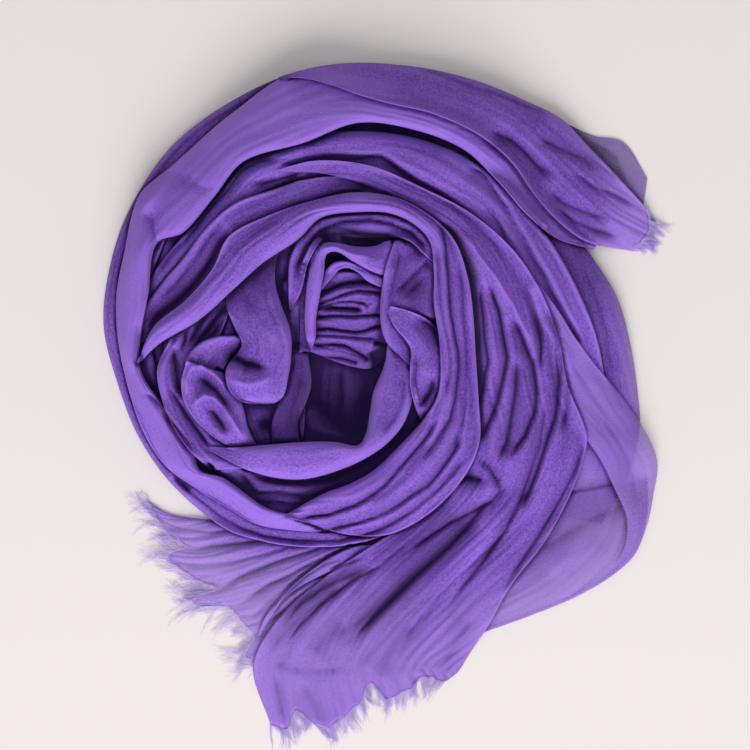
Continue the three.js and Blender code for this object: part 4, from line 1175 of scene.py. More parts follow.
# %% The small folds of the bowl
keep({
    "name": "cloth_left_inner_folds",
    "replaces": ["left_inner_folds"],
    "rests_on": ["cloth_left_bowl"],
    "sections": [
        (-144, 60, -104, 76), (-150, 44, -114, 48), (-158, 24, -128, 20), (-152, -4, -124, -4),
         (-140, -26, -110, -26), (-122, -46, -92, -44),
    ],
    "heights": [(0, 22, 21, 4), (2, 25, 20, 7), (5, 22, 16, 7)],
    "grooves": [
        groove([(-148, 42), (-145, 28), (-143, 14), (-140, 2)], 11, (3.5, 3)),
        groove([(-138, 58), (-139, 44), (-142, 32)], 6, (2.5, 1.2)),
        groove([(-122, 72), (-130, 54), (-138, 38)], 7, (3, 1.4)),
        groove([(-108, 76), (-116, 62), (-126, 48), (-134, 38)], 8, (3, 1.6)),
        groove([(-110, 62), (-118, 50), (-126, 42)], 6, (2, 2)),
        groove([(-166, 20), (-156, 0), (-146, -14), (-132, -34)], 7, (1.5, 3)),
        groove([(-150, 14), (-144, 2), (-134, -12), (-120, -32)], 6, (1.5, 2.5)),
    ],
    "tuck": (10, 10),
    "detail": 1.2,
})

# %% [markdown]
# ### The layers at the bottom of the bowl
#
# Below the large fold two or three layers of cloth show as dark bands, one behind the other. Separate
# sheets would be hidden nearly everywhere, so one stretch carries them as three stepped grooves, which are
# painted with shade to darken the bands.

# %% The layers at the bottom of the bowl
keep({
    "name": "cloth_bowl_layers",
    "sections": [
        (-118, -46, -116, -40), (-108, -58, -104, -38), (-90, -72, -86, -46), (-66, -78, -64, -48),
         (-38, -74, -38, -44), (-12, -60, -16, -36), (10, -42, 2, -24), (28, -20, 14, -8), (32, 2, 22, 6),
    ],
    "heights": [(0, 18, 20, 0), (2, 15, 18, 3), (4, 14, 17, 3), (6, 15, 18, 3), (8, 18, 20, 1)],
    "grooves": [
        groove([(-104, -48), (-98, -50), (-92, -58), (-88, -62), (-75, -61), (-62, -63), (-50, -64),
         (-30, -62), (-12, -54)], 4, (1.2, 4), tone=0.5),
        groove([(-96, -64), (-88, -68), (-75, -68), (-60, -70), (-44, -69)], 3, (1.2, 3), tone=0.4),
        groove([(-94, -50), (-78, -53), (-56, -54), (-34, -51), (-14, -43), (4, -30), (18, -12)], 5, (5, 3),
         tone=0.6),
    ],
    "tone": 0.1,
    "wrinkle": 0.8,
})

# %% [markdown]
# ### The large fold across the bowl
#
# A thick soft fold hangs across the bowl like a hammock and climbs up its right side. It is the smoothest
# piece of the coil, so it has the highest crown, few wrinkles and one groove.

# %% The large fold across the bowl
keep({
    "name": "cloth_bowl_fold",
    "replaces": ["bowl_fold"],
    "rests_on": ["cloth_left_inner_folds"],
    "sections": [
        (-124, -30, -122, -29.5), (-112, -37, -108, -30), (-94, -46, -92, -29), (-76, -51, -76, -27.5),
         (-56, -52, -56, -26), (-35, -47, -35, -26), (-14, -38, -18, -28), (2, -27, -13, -20),
         (14, -12, -10, -4), (20, 10, -8, 8), (18, 28, 0, 28), (15, 44, 3, 46), (12, 54, 7, 54),
    ],
    "heights": [
        (0, 24, 24, 0), (1, 25, 27, 5), (3, 26, 35, 9), (6, 28, 34, 10), (9, 30, 27, 7), (11, 26, 25, 3),
         (12, 24, 24, 0),
    ],
    "grooves": [
        groove([(14, 26), (13, 8), (8, -8), (-2, -22)], 3, (2, 5)),
    ],
    "wrinkle": 0.5,
    "tuck": (26, 8),
})

# %% [markdown]
# ### The arcs over the centre
#
# Above the centre three narrow folds bend round like the arcs of a shell. They are one stretch with
# grooves that end in points, because the real folds run together at both ends.

# %% The arcs over the centre
keep({
    "name": "cloth_inner_arcs",
    "replaces": ["inner_arcs"],
    "rests_on": ["cloth_inner_turn"],
    "sections": [
        (-66, 66, -65, 65.5), (-67, 82, -58, 78), (-65, 104, -52, 100), (-50, 127, -40, 116),
         (-20, 133, -18, 116), (5, 132, 4, 116), (24, 126, 17, 113), (35, 114, 27, 104), (38, 101, 35, 97),
    ],
    "heights": [(0, 18, 18, 1), (1, 20, 16, 8), (4, 22, 16, 13), (7, 24, 20, 12), (9, 24, 24, 2)],
    "grooves": [
        groove([(-62, 92), (-56, 108), (-44, 121), (-28, 127), (-10, 128), (4, 126), (18, 119), (26, 110),
         (29, 102)], 6, (1.4, 3)),
        groove([(-52, 110), (-40, 118), (-24, 119), (-6, 117), (8, 115), (18, 108), (24, 102)], 9, (2, 5)),
        groove([(-60, 84), (-60, 98), (-52, 112)], 4, (2, 2)),
    ],
    "tuck": (8, 10),
    "detail": 1.2,
})

# %% [markdown]
# ### The ruffles
#
# In the centre the cloth is pushed together into a small stack of ruffles. A wave modifier would make
# them all alike. Each valley is drawn instead, steep above and easy below, with ends that run out at
# different places.

# %% The ruffles
keep({
    "name": "cloth_ruffles",
    "replaces": ["centre_ruffles"],
    "rests_on": ["cloth_hollow_floor"],
    "sections": [
        (-58, 90, -59, 36), (-50, 92, -54, 37), (-38, 92, -38, 31), (-24, 92, -22, 26), (-10, 90, -10, 25),
         (2, 88, 1, 33), (8, 86, 7, 36),
    ],
    "heights": [(0, 22, 12, 3), (1, 25, 13, 5), (3, 24, 10, 6), (5, 25, 12, 5), (6, 22, 12, 3)],
    "grooves": [
        groove([(-50, 74), (-40, 79), (-30, 82.5), (-20, 84.5), (-10, 85), (2, 83)], 9, (5, 1.6),
         fade=(4, 3)),
        groove([(-50, 67.5), (-40, 72), (-30, 75.5), (-20, 78), (-10, 77.5), (2, 76)], 5.5, (2.2, 1),
         fade=(3, 3)),
        groove([(-50, 65), (-40, 68.8), (-30, 71.2), (-22, 71.8), (-14, 70), (-11, 66)], 4.5, (1.8, 1),
         fade=(3, 3)),
        groove([(-46, 65.4), (-36, 67.2), (-25, 67.2), (-15, 65.4)], 10, (1.6, 1.6), fade=(10, 4)),
        groove([(-50, 59), (-40, 61), (-30, 61.6), (-20, 61), (-10, 61.4), (2, 63)], 6, (2.2, 1),
         fade=(3, 3)),
        groove([(-50, 52), (-40, 52), (-30, 51), (-20, 50.4), (-14, 51), (-6, 53.4), (2, 55)], 6.5,
         (2.4, 1), fade=(3, 3)),
        groove([(-50, 48), (-35, 47.4), (-20, 46), (-6, 45)], 4, (1.6, 1), fade=(3, 3)),
        groove([(-8, 44), (-3, 43), (3, 42)], 8, (2.5, 2.5), fade=(2, 1)),
        groove([(-50, 41.6), (-38, 41.8), (-28, 41), (-18, 36.4), (-10, 31)], 6, (1, 2.4), fade=(3, 2)),
        groove([(-54, 34.6), (-42, 33), (-30, 32), (-18, 29)], 5, (1, 2.4), fade=(3, 2)),
        groove([(-10, 38), (-7, 30), (-6, 22)], 9, (5, 2), fade=(3, 1)),
    ],
    "rolled": (1, 0),
    # A little painted shade over all the ruffles.
    "tone": 0.12,
    "wrinkle": 0.8,
    "detail": 1.7,
})

# %% [markdown]
# ### The small arch
#
# A thin fold stands over the topmost ruffle as a second, smaller arch. It is a narrow stretch of its own,
# because it stands free of the ruffles and throws a shadow on them.

# %% The small arch
keep({
    "name": "cloth_small_arch",
    "rests_on": ["cloth_ruffles"],
    "sections": [
        (-45, 80, -44, 79.5), (-42.5, 90, -37, 87), (-36, 98, -31, 93.5), (-28, 99.5, -25, 94.5),
         (-18, 97, -18, 91), (-9, 94, -12, 85.5), (1, 93, 0, 80),
    ],
    "heights": [(0, 24, 24, 0), (1, 26, 26, 3), (2, 28, 27, 4), (4, 28, 27, 4), (6, 28, 28, 3)],
    "grooves": [
        groove([(-40, 88), (-33, 95.5), (-26, 97), (-16, 93), (-8, 89)], 2.5, (1, 1.4)),
    ],
    "wrinkle": 0.5,
    "detail": 1.6,
    "settle_rounds": 3,
    "held": "folded",
})

# %% [markdown]
# ### The arch
#
# A smooth rope of cloth comes up at the left of the ruffles, bends over them and goes on to the right. It
# is the highest fold of the centre. One stretch with a high crown and a soft ridge makes it.

# %% The arch
keep({
    "name": "cloth_arch",
    "replaces": ["centre_arch"],
    "rests_on": ["cloth_ruffles"],
    "sections": [
        (-51.5, 39, -50.5, 39), (-54.5, 46, -48, 46), (-55.5, 60, -47.5, 60), (-54.5, 78, -44.5, 77),
         (-52, 97, -42, 92), (-47, 111, -40, 104), (-34, 112, -33, 105.5), (-20, 109.5, -22, 99),
         (-6, 110, -9, 92), (3, 114, 0, 89.5), (11, 113, 8, 92),
    ],
    "heights": [
        (0, 20, 20, 0), (1, 22, 22, 5), (4, 27, 29, 8), (6, 30, 33, 8), (8, 27, 32, 8), (10, 32, 32, 5),
    ],
    "grooves": [
        groove([(-48, 104), (-36, 109), (-22, 104), (-8, 102)], -2.5, (3, 3)),
    ],
    "wrinkle": 0.6,
    "tuck": (8, 6),
    "detail": 1.3,
    "held": "folded",
})

# %% [markdown]
# ### The curl at the right
#
# At the right of the centre a fold curls round and shows its hollow inner side. The hollow is a deep
# groove with a long reach on its inner side, which is simpler than modelling both faces of the curl and
# looks the same from every side one can see it from.

# %% The curl at the right
keep({
    "name": "cloth_right_curl",
    "replaces": ["right_curl"],
    "rests_on": ["cloth_inner_turn"],
    "sections": [
        (4, 68, 2, 65), (16, 65, 4, 59), (28, 60, 8, 52), (37, 52, 14, 45), (41.5, 40, 18, 38),
         (43, 27, 17.5, 26), (42, 14, 17.5, 14), (36, -3, 21, -1), (27, -14, 25, -12),
    ],
    "heights": [
        (0, 29, 29, 1), (1, 27, 30, 6), (3, 24, 31, 9), (5, 27, 28, 9), (7, 25, 25, 6), (8, 24, 24, 0),
    ],
    "grooves": [
        # Painted shade lies in the next groove, down in the curl.
        groove([(20, 62), (30, 56), (38, 48), (41, 36)], 5, (4, 5), tone=0.5),
        groove([(22.5, 38), (22, 25), (20.5, 12), (23, 4)], 4, (1, 1.2)),
        groove([(35, 22), (33, 10), (27, 1), (20, -3)], 8, (1.5, 4)),
    ],
    "tuck": (8, 4),
    "wrinkle": 0.6,
    "detail": 1.4,
    "held": "folded",
})

# %% [markdown]
# ### The fold down to the curl
#
# A smooth fold comes down from the arch to the curl, flat above and full below. Broad shallow grooves
# with painted shade give the soft shade on it, and the whole fold is painted a little darker.

# %% The fold down to the curl
keep({
    "name": "cloth_right_fold",
    "replaces": ["centre_right_fold"],
    "rests_on": ["cloth_bowl_fold"],
    "sections": [
        (40, 121, 9, 119), (42, 106, 3.5, 104), (42, 95, 0.5, 94), (42, 84, -1.5, 83), (41, 74, -3, 71),
         (36, 62, -3, 60), (26, 53, -1.5, 50), (21, 44, 2, 42), (20, 35, 11, 33), (23, 26, 20, 25),
    ],
    "heights": [
        (0, 24, 33, 2), (1, 25, 33, 5), (3, 25, 31, 7), (5, 25, 30, 7), (7, 26, 28, 6), (9, 27, 27, 0),
    ],
    "grooves": [
        groove([(30, 100), (20, 90), (6, 76)], 4, (5, 1.2), fade=(2, 10)),
        groove([(31, 92), (22, 82), (12, 72)], 5, (6, 8), tone=0.45),
        groove([(12, 112), (9, 98), (6, 84), (3, 70)], 3, (6, 1.5), tone=0.3),
        groove([(18, 116), (24, 106), (26, 98)], 4, (7, 7), tone=0.5),
    ],
    "tone": 0.12,
    "tuck": (8, 4),
    "wrinkle": 0.5,
    "detail": 1.4,
    "held": "folded",
})

# %% [markdown]
# ### The upright fold
#
# A single fold stands between the petals and the floor of the hollow like a post. It is narrow, so it
# needs a full crown, and it is painted darker, as shade, all over and along its middle towards the hollow.

# %% The upright fold
keep({
    "name": "cloth_post_fold",
    "replaces": ["left_post_fold"],
    "rests_on": ["cloth_left_bowl"],
    "sections": [
        (-60, 42, -59, 42), (-66, 34, -54, 35), (-68, 26, -52, 26), (-69, 16, -51, 14), (-73, 2, -55, 0),
         (-78, -12, -60, -12), (-78, -29, -59, -29),
    ],
    "heights": [(0, 21, 21, 0), (1, 23, 20, 5), (3, 25, 19, 9), (6, 22, 22, 7)],
    "grooves": [
        groove([(-63, 36), (-66, 20), (-69, 4)], 4, (1.4, 4)),
        groove([(-57, 26), (-60, 8), (-66, -10), (-68, -24)], 2, (5, 5), tone=0.5),
        groove([(-57, 18), (-60, 4), (-66, -10), (-66, -24)], -2, (3, 3)),
    ],
    "tone": 0.5,
    "tuck": (8, 6),
    "wrinkle": 0.6,
    "detail": 1.3,
    "held": "folded",
})

# %% [markdown]
# ### The swirl over the lower petal
#
# Left of the upper petal a fold turns in on itself. It is a short stretch bent into a hook, with one deep
# groove where it turns.

# %% The swirl over the lower petal
keep({
    "name": "cloth_swirl",
    "rests_on": ["cloth_left_inner_folds"],
    "sections": [
        (-92, 48, -94, 34), (-104, 47.5, -101, 35), (-116, 47, -107, 32), (-128, 42.5, -110, 28),
         (-136, 34, -112, 24), (-139, 24, -114, 20), (-136, 12, -118, 14),
    ],
    "heights": [(0, 29, 14, 2), (2, 30, 14, 6), (4, 29, 16, 7), (6, 24, 22, 4)],
    "grooves": [
        groove([(-96, 40), (-103, 36), (-110, 30), (-108, 26)], 7, (4, 4)),
    ],
    "tuck": (4, 6),
    "wrinkle": 0.6,
    "detail": 1.4,
    "settle_rounds": 5,
    "held": "folded",
})

# %% [markdown]
# ### The lower petal
#
# The lower left of the bowl holds a fold that looks like an open petal, with a thin lip round a hollow.
# Two thin ridges make the lips, and two broad grooves sink the cloth between them.

# %% The lower petal
keep({
    "name": "cloth_petal_lower",
    "replaces": ["left_petal_lower"],
    "rests_on": ["cloth_left_bowl"],
    "sections": [
        (-137, 30, -112, 22), (-141, 16, -106, 12), (-139, 2, -100, 4), (-132, -10, -97, -6),
         (-122, -20, -95, -15), (-110, -28, -91, -24), (-98, -33, -88, -31),
    ],
    "heights": [(0, 26, 28, 4), (2, 25, 28, 9), (4, 24, 26, 9), (6, 23, 23, 4)],
    "grooves": [
        groove([(-137, 4), (-138, 17), (-134.5, 25.5), (-127, 27), (-119, 22.5), (-112, 14.5), (-106, 6)],
         -4.5, (1.2, 1.8)),
        groove([(-133, 20), (-126, 17), (-118, 10), (-112, 2), (-106, -8)], 7, (4, 4)),
        groove([(-134, -6), (-130.5, 3), (-125, 6.5), (-118, 5), (-111, -2), (-105, -11), (-98, -24)], -4.5,
         (1.2, 1.8)),
        groove([(-126, -1), (-119, -5), (-113, -13), (-108, -22)], 8, (3, 3.5)),
    ],
    "tuck": (3, 8),
    "wrinkle": 0.5,
    "detail": 1.5,
    "held": "folded",
})

# %% [markdown]
# ### The upper petal
#
# The largest fold of the bowl leans over from above and ends in a full rounded belly. The table lets it
# start narrow and swell, and a deep groove cuts in from the left where the belly folds under.

# %% The upper petal
keep({
    "name": "cloth_petal_upper",
    "replaces": ["left_petal_upper"],
    "rests_on": ["cloth_left_bowl"],
    "sections": [
        (-108, 106, -66, 124), (-109, 94, -74, 106), (-110, 80, -76, 86), (-109, 66, -72, 70),
         (-104, 53, -65.5, 52), (-99, 42, -64.5, 36), (-110, 24, -66.5, 20), (-107, 9, -70, 6),
         (-99, 2, -76, 1), (-90, 0.5, -82, 0),
    ],
    "heights": [
        (0, 20, 22, 3), (1, 22, 24, 7), (3, 26, 29, 11), (4, 24, 30, 13), (6, 30, 32, 9), (8, 28, 28, 6),
         (9, 28, 28, 3),
    ],
    "grooves": [
        groove([(-112, 32), (-103, 31), (-95, 27), (-86, 25.5), (-79, 27)], 13, (5, 2.5), fade=(2, 14)),
        groove([(-112, 20), (-104, 16), (-94, 13.5), (-84, 16), (-74, 22)], -3.5, (3, 3)),
        groove([(-98, 84), (-94, 72), (-92, 60)], 3.5, (6, 4)),
        # A painted shadow across the top, where the fold above shades it.
        groove([(-118, 72), (-106, 86), (-90, 96), (-72, 106)], 2, (12, 12), tone=1.2, fade=(2, 2)),
        groove([(-86, 56), (-78, 48), (-74, 36)], -2, (6, 6)),
    ],
    "tuck": (18, 3),
    "wrinkle": 0.6,
    "detail": 1.4,
    "held": "folded",
})

# %% [markdown]
# ## The hidden layers
#
# Most of the cloth is folded away under the coil and never shows. Only the rim of that bundle does, as a
# low heap whose edge steps in like the edges of folded cloth. Folding real layers there would cost many
# faces that nobody sees, so the heap is made of rings: from the foot of the rim, up its steps, over the
# crown and down into the hollow. Each row of the outline is a bearing: degrees, outer radius, radius of
# the hollow.

# %% The outline of the heap
HEAP_CENTRE = (-14.0, 62.0)
HEAP_OUTLINE = [
    (0, 160, 22), (30, 158, 30), (60, 156, 40), (90, 162, 46), (120, 162, 44), (150, 162, 36), (180, 165, 34),
    (210, 158, 50), (240, 152, 72), (270, 150, 84), (300, 150, 72), (330, 156, 30), (360, 160, 22),
]
HEAP_LAYERS = 4
HEAP_LAYER_HEIGHT = 3.6
HEAP_LAYER_INSET = 5.0
HEAP_CROWN = 15.0
HEAP_FLOOR = 1.0
HEAP_BEARINGS = 150
STEP_EDGE = ((1.6, 0.1), (0.4, 0.3), (0.4, 0.7), (1.6, 0.95))  # inset and rise of one layer's rounded edge


def heap_rings():
    """Rings of the heap as (share of the way from rim to hollow, inset in millimetres, height)."""
    rings = []
    for k in range(HEAP_LAYERS):
        for inset, rise in STEP_EDGE:
            rings.append((0.0, HEAP_LAYER_INSET * k + inset, (k + rise) * HEAP_LAYER_HEIGHT))
    rim_top = HEAP_LAYERS * HEAP_LAYER_HEIGHT
    for share in np.linspace(0.05, 0.9, 9):
        rise = math.sin(math.pi * min(1.0, share + 0.15)) ** 0.6
        rings.append((share, HEAP_LAYERS * HEAP_LAYER_INSET, rim_top + rise * (HEAP_CROWN - rim_top)))
    rings.append((1.0, 0.0, HEAP_FLOOR + 1))
    return rings


print("the heap has", len(heap_rings()), "rings, up to", round(max(r[2] for r in heap_rings()), 1), "mm high")

# %% The heap's points
def heap_grid():
    """The rings as three grids of points: a row for each ring and a column for each bearing."""
    bearing = np.linspace(0, 360, HEAP_BEARINGS + 1)
    outer, hollow = (between(HEAP_OUTLINE, bearing, k) for k in (1, 2))
    shares, insets, heights = (np.array(values)[:, None] for values in zip(*heap_rings()))
    rim = outer - insets
    radius = rim + shares * (hollow + 8 * (1 - shares) - rim)
    angle = np.radians(bearing)
    wave = noise(bearing[:-1] / 9, 0 * bearing[:-1], 5)
    z = heights + 0.5 * np.append(wave, wave[0])
    z[0] = SHELL
    return HEAP_CENTRE[0] + radius * np.cos(angle), HEAP_CENTRE[1] + radius * np.sin(angle), z


print("the heap is", round(float(np.ptp(heap_grid()[0]))), "mm wide")

# %% The heap as a closed mesh
def make_heap(pile, material):
    x, y, z = heap_grid()
    pile.lay(x, y, z)
    rows, columns = x.shape
    points = np.stack([x[:, :-1], y[:, :-1], z[:, :-1]], axis=-1).reshape(-1, 3)
    top = len(points)
    points = np.vstack([points, [[*HEAP_CENTRE, HEAP_FLOOR], [*HEAP_CENTRE, SHELL]]])
    corner = np.arange(rows * (columns - 1)).reshape(rows, columns - 1)
    turned = np.roll(corner, -1, axis=1)
    walls = np.stack([corner[:-1], turned[:-1], turned[1:], corner[1:]], axis=-1).reshape(-1, 4)
    faces = walls.tolist()
    faces += [[a, b, top] for a, b in zip(corner[-1].tolist(), turned[-1].tolist())]
    faces += [[b, a, top + 1] for a, b in zip(corner[0].tolist(), turned[0].tolist())]
    uvs = np.stack([points[:, 2] * 3, points[:, 0]], axis=-1) / UV_UNIT
    piece = new_mesh("cloth_hidden_layers", points, faces, uvs)
    piece.data.materials.append(material)
    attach(piece, "root")
    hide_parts("hidden_layers")
    return piece


def lower_heap(heap, pile):
    """Presses the hidden layers down below the stretches laid over them."""
    points = np.zeros(3 * len(heap.data.vertices), dtype=np.float32)
    heap.data.vertices.foreach_get("co", points)
    points = points.reshape(-1, 3)
    x, y, z = points.T / MM
    points[:, 2] = np.maximum(np.minimum(z, pile.lid(x, y) - LID_GAP), np.minimum(z, SHELL)) * MM
    heap.data.vertices.foreach_set("co", points.ravel())
    heap.data.update()


print("its middle comes down to", HEAP_FLOOR, "mm over the table")

# %% [markdown]
# ## Fringes
#
# A fringe is the loose warp yarns beyond the last weft. Blender's hair could grow it, but hair isn't kept as
# a mesh when the shawl is exported. So each yarn is a thin tapering tube of three sides. On the real shawl
# the yarns cling together in small locks. Each lock has its own direction, bend and length, and its yarns
# differ a little from it and close up towards its tip.

# %% The yarns' roots and directions
YARN_RADII = (0.22, 0.21, 0.19, 0.17, 0.14, 0.10, 0.04)  # from root to tip
YARN_SIDES = 3
LOCK_SPACING = 2.6


def sow_yarns(stretch):
    """Where each yarn of a stretch's hem starts, the way it goes, and its place along the hem."""
    count = stretch.table["fringe"]["strands"]
    seed = stretch.seed + 60
    hem = np.stack([stretch.x[-1], stretch.y[-1], stretch.z[-1] - SHELL / 2], axis=-1)
    run = np.concatenate([[0], np.cumsum(np.linalg.norm(np.diff(hem[:, :2], axis=0), axis=1))])
    n = np.arange(count)
    at = run[-1] * (n + 0.9 * uneven(n, seed)) / count
    lock = np.floor(at / LOCK_SPACING + 0.7 * uneven(np.floor(at / 3), seed + 1))
    root = np.stack([np.interp(at, run, hem[:, k]) for k in range(3)], axis=-1)
    way = np.stack([np.interp(at, run, stretch.way[k]) for k in (0, 1)], axis=-1)
    turn = 0.9 * (uneven(lock, seed + 2) - 0.5) + 0.22 * (uneven(n, seed + 3) - 0.5)
    cos, sin = np.cos(turn), np.sin(turn)
    way = np.stack([way[:, 0] * cos - way[:, 1] * sin, way[:, 0] * sin + way[:, 1] * cos], axis=-1)
    return n, lock, at, root, way


print("a lock is about", LOCK_SPACING, "mm wide, a yarn", 2 * YARN_RADII[0], "mm thick at its root")

# %% The yarns' rings
def yarn_rings(stretch, pile):
    """Rings of points for every yarn, laid on the table or on the cloth below it."""
    n, lock, at, root, way = sow_yarns(stretch)
    seed = stretch.seed + 60
    side = np.stack([-way[:, 1], way[:, 0]], axis=-1)
    length = stretch.table["fringe"]["length"] * (0.45 + 0.75 * uneven(lock, seed + 4))
    length = length * (0.75 + 0.35 * uneven(n, seed + 5))
    bend = length * (0.9 * (uneven(lock, seed + 6) - 0.5) + 0.3 * (uneven(n, seed + 10) - 0.5))
    centre = (np.round(at / LOCK_SPACING) * LOCK_SPACING - at) * 0.6
    lift = 2.2 * uneven(lock, seed + 7) + 0.8 * uneven(n, seed + 8)
    rings = []
    for k, radius in enumerate(YARN_RADII):
        t = k / (len(YARN_RADII) - 1)
        curl = 1.1 * t * np.sin(6 * t + 6 * uneven(lock, seed + 11))
        curl = curl + 0.4 * np.sin(9 * t + 6 * uneven(n, seed + 9))
        sideways = bend * t * t + centre * t + curl
        flat = root[:, :2] + way * (length * t)[:, None] + side * sideways[:, None]
        own = root[:, 2] * (1 - t) ** 2 + 0.35 + lift * math.sin(math.pi * min(1.0, t + 0.1)) * 0.6
        under = pile.under(flat[:, 0], flat[:, 1])
        z = np.where(t > 0.25, np.maximum(own, np.minimum(under, root[:, 2] + 1.5) + radius + 0.2), own)
        for corner in range(YARN_SIDES):
            spin = corner * 2 * math.pi / YARN_SIDES
            reach = radius * math.cos(spin)
            rings.append(np.column_stack([flat + side * reach, z + radius * math.sin(spin)]))
    return np.stack(rings, axis=1), at


print("each yarn has", len(YARN_RADII), "rings of", YARN_SIDES, "points")

# %% The fringe as one mesh
def make_fringe(stretch, pile, material):
    table = stretch.table["fringe"]
    points, at = yarn_rings(stretch, pile)
    count, per_yarn = points.shape[:2]
    faces = []
    for k in range(len(YARN_RADII) - 1):
        for corner in range(YARN_SIDES):
            after = (corner + 1) % YARN_SIDES
            ring, above = YARN_SIDES * k, YARN_SIDES * (k + 1)
            faces.append((ring + corner, ring + after, above + after, above + corner))
    faces = np.array(faces)[None] + per_yarn * np.arange(count)[:, None, None]
    uvs = np.stack([np.repeat(at, per_yarn), np.tile(np.arange(per_yarn), count)], axis=-1) / UV_UNIT
    piece = new_mesh(table["name"], points.reshape(-1, 3), faces.reshape(-1, 4), uvs)
    piece.data.materials.append(material)
    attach(piece, "root")
    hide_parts(table["replaces"])
    return piece


print("each fringe is one piece, made of", 2 * YARN_SIDES * (len(YARN_RADII) - 1), "triangles to a yarn")

# %% [markdown]
# ## The colours of the cloth
#
# The shawl is dyed one violet. Its crests look paler, because the nap scatters light, and its valleys nearly
# black, because light hardly reaches their bottom. Lamps alone give this only in part, so the rest is
# painted:
# the weave mixes a painted highlight, painted shade and the painted light of single layers from these colours
# by the marks that each point carries.

# %% Colours
# Deep and pale are the range of the dyed wool with its grain; crests are also moved towards pale, as a
# painted highlight.
DEEP_VIOLET = (0.112, 0.034, 0.340, 1)
PALE_VIOLET = (0.282, 0.135, 0.650, 1)
# Single layers are painted towards this paler violet, as the light that comes through them. It is also the
# colour of the light through sheer cloth and the darker colour of the yarns.
THIN_VIOLET = (0.420, 0.250, 0.790, 1)
YARN_VIOLET = (0.80, 0.70, 1.0, 1)
# The painted shade of valleys and hollows, nearly black.
SHADE_VIOLET = (0.020, 0.004, 0.078, 1)
FUZZ_TINT = (0.66, 0.50, 0.95, 1)
FLOOR_COLOUR = (0.70, 0.665, 0.66, 1)


def add_node(tree, kind, place, **values):
    node = tree.nodes.new(kind)
    node.location = place
    for name, value in values.items():
        if hasattr(node, name):
            setattr(node, name, value)
        else:
            node.inputs[name.replace("_", " ").title()].default_value = value
    return node


print("cloth from", DEEP_VIOLET[:3], "to", PALE_VIOLET[:3])

# %% [markdown]
# ## The weave
#
# The cloth is a plain weave of fine, slightly uneven wool. All three finishes use it, so it is a node group
# with its own sockets, placed in each material with its own values. An image of real cloth could be used
# instead, but it would repeat and blur, while waves and noise stay sharp at any distance. Everything in it
# runs on the UV map, which is the cloth laid flat, so the threads follow every fold.

# %% The group and its sockets
# Shade and Thinness say how strongly the painted shade and the painted light of single layers are mixed in.
WEAVE_INPUTS = (
    ("Deep", "NodeSocketColor", DEEP_VIOLET),
    ("Pale", "NodeSocketColor", PALE_VIOLET),
    ("Thin", "NodeSocketColor", THIN_VIOLET),
    ("Threads", "NodeSocketFloat", 115.0),
    ("Relief", "NodeSocketFloat", 0.8),
    ("Cover", "NodeSocketFloat", 0.8),
    ("Shade", "NodeSocketFloat", 0.95),
    ("Thinness", "NodeSocketFloat", 0.6),
)
WEAVE_OUTPUTS = (("Colour", "NodeSocketColor"), ("Cover", "NodeSocketFloat"), ("Normal", "NodeSocketVector"))


class Weave:
    """The group with its sockets, and two short ways to add sums and noises to it."""

    def __init__(self):
        self.group = bpy.data.node_groups.new("fine weave", "ShaderNodeTree")
        for name, kind, value in WEAVE_INPUTS:
            socket = self.group.interface.new_socket(name, in_out="INPUT", socket_type=kind)
            socket.default_value = value
        for name, kind in WEAVE_OUTPUTS:
            self.group.interface.new_socket(name, in_out="OUTPUT", socket_type=kind)
        self.given = add_node(self.group, "NodeGroupInput", (-1200, 0)).outputs
        self.out = add_node(self.group, "NodeGroupOutput", (900, 0)).inputs
        self.link = self.group.links.new
        self.uv = add_node(self.group, "ShaderNodeUVMap", (-1200, -260), uv_map="cloth")

    def maths(self, operation, place, *values):
        node = add_node(self.group, "ShaderNodeMath", place, operation=operation)
        for k, value in enumerate(values):
            if isinstance(value, (int, float)):
                node.inputs[k].default_value = value
            else:
                self.link(value, node.inputs[k])
        return node.outputs[0]

    def grain(self, place, scale, stretch, detail=2.0):
        bend = add_node(self.group, "ShaderNodeVectorMath", (place[0] - 180, place[1]), operation="MULTIPLY")
        bend.inputs[1].default_value = (scale * stretch[0], scale * stretch[1], 1)
        self.link(self.uv.outputs["UV"], bend.inputs[0])
        node = add_node(self.group, "ShaderNodeTexNoise", place)
        node.inputs["Scale"].default_value = 1.0
        node.inputs["Detail"].default_value = detail
        self.link(bend.outputs[0], node.inputs["Vector"])
        return node.outputs[0]

    def mix(self, place, factor, first, second):
        node = add_node(self.group, "ShaderNodeMix", place, data_type="RGBA")
        self.link(factor, node.inputs["Factor"])
        self.link(first, node.inputs[6])
        if isinstance(second, tuple):
            node.inputs[7].default_value = second
        else:
            self.link(second, node.inputs[7])
        return node.outputs[2]


print("the weave takes", [name for name, _, _ in WEAVE_INPUTS])

# %% [markdown]
# ### Threads and relief
#
# Warp and weft are two sine waves across the UV map. Hand spun yarn is thicker in places, and loose wool
# crinkles, so two noises are added: slubs that run along the warp, and a finer crinkle that also makes the
# threads sway. Together they drive a bump, which is enough for relief this fine.

# %% The relief of the threads
BUMP_DEPTH = 0.35  # millimetres


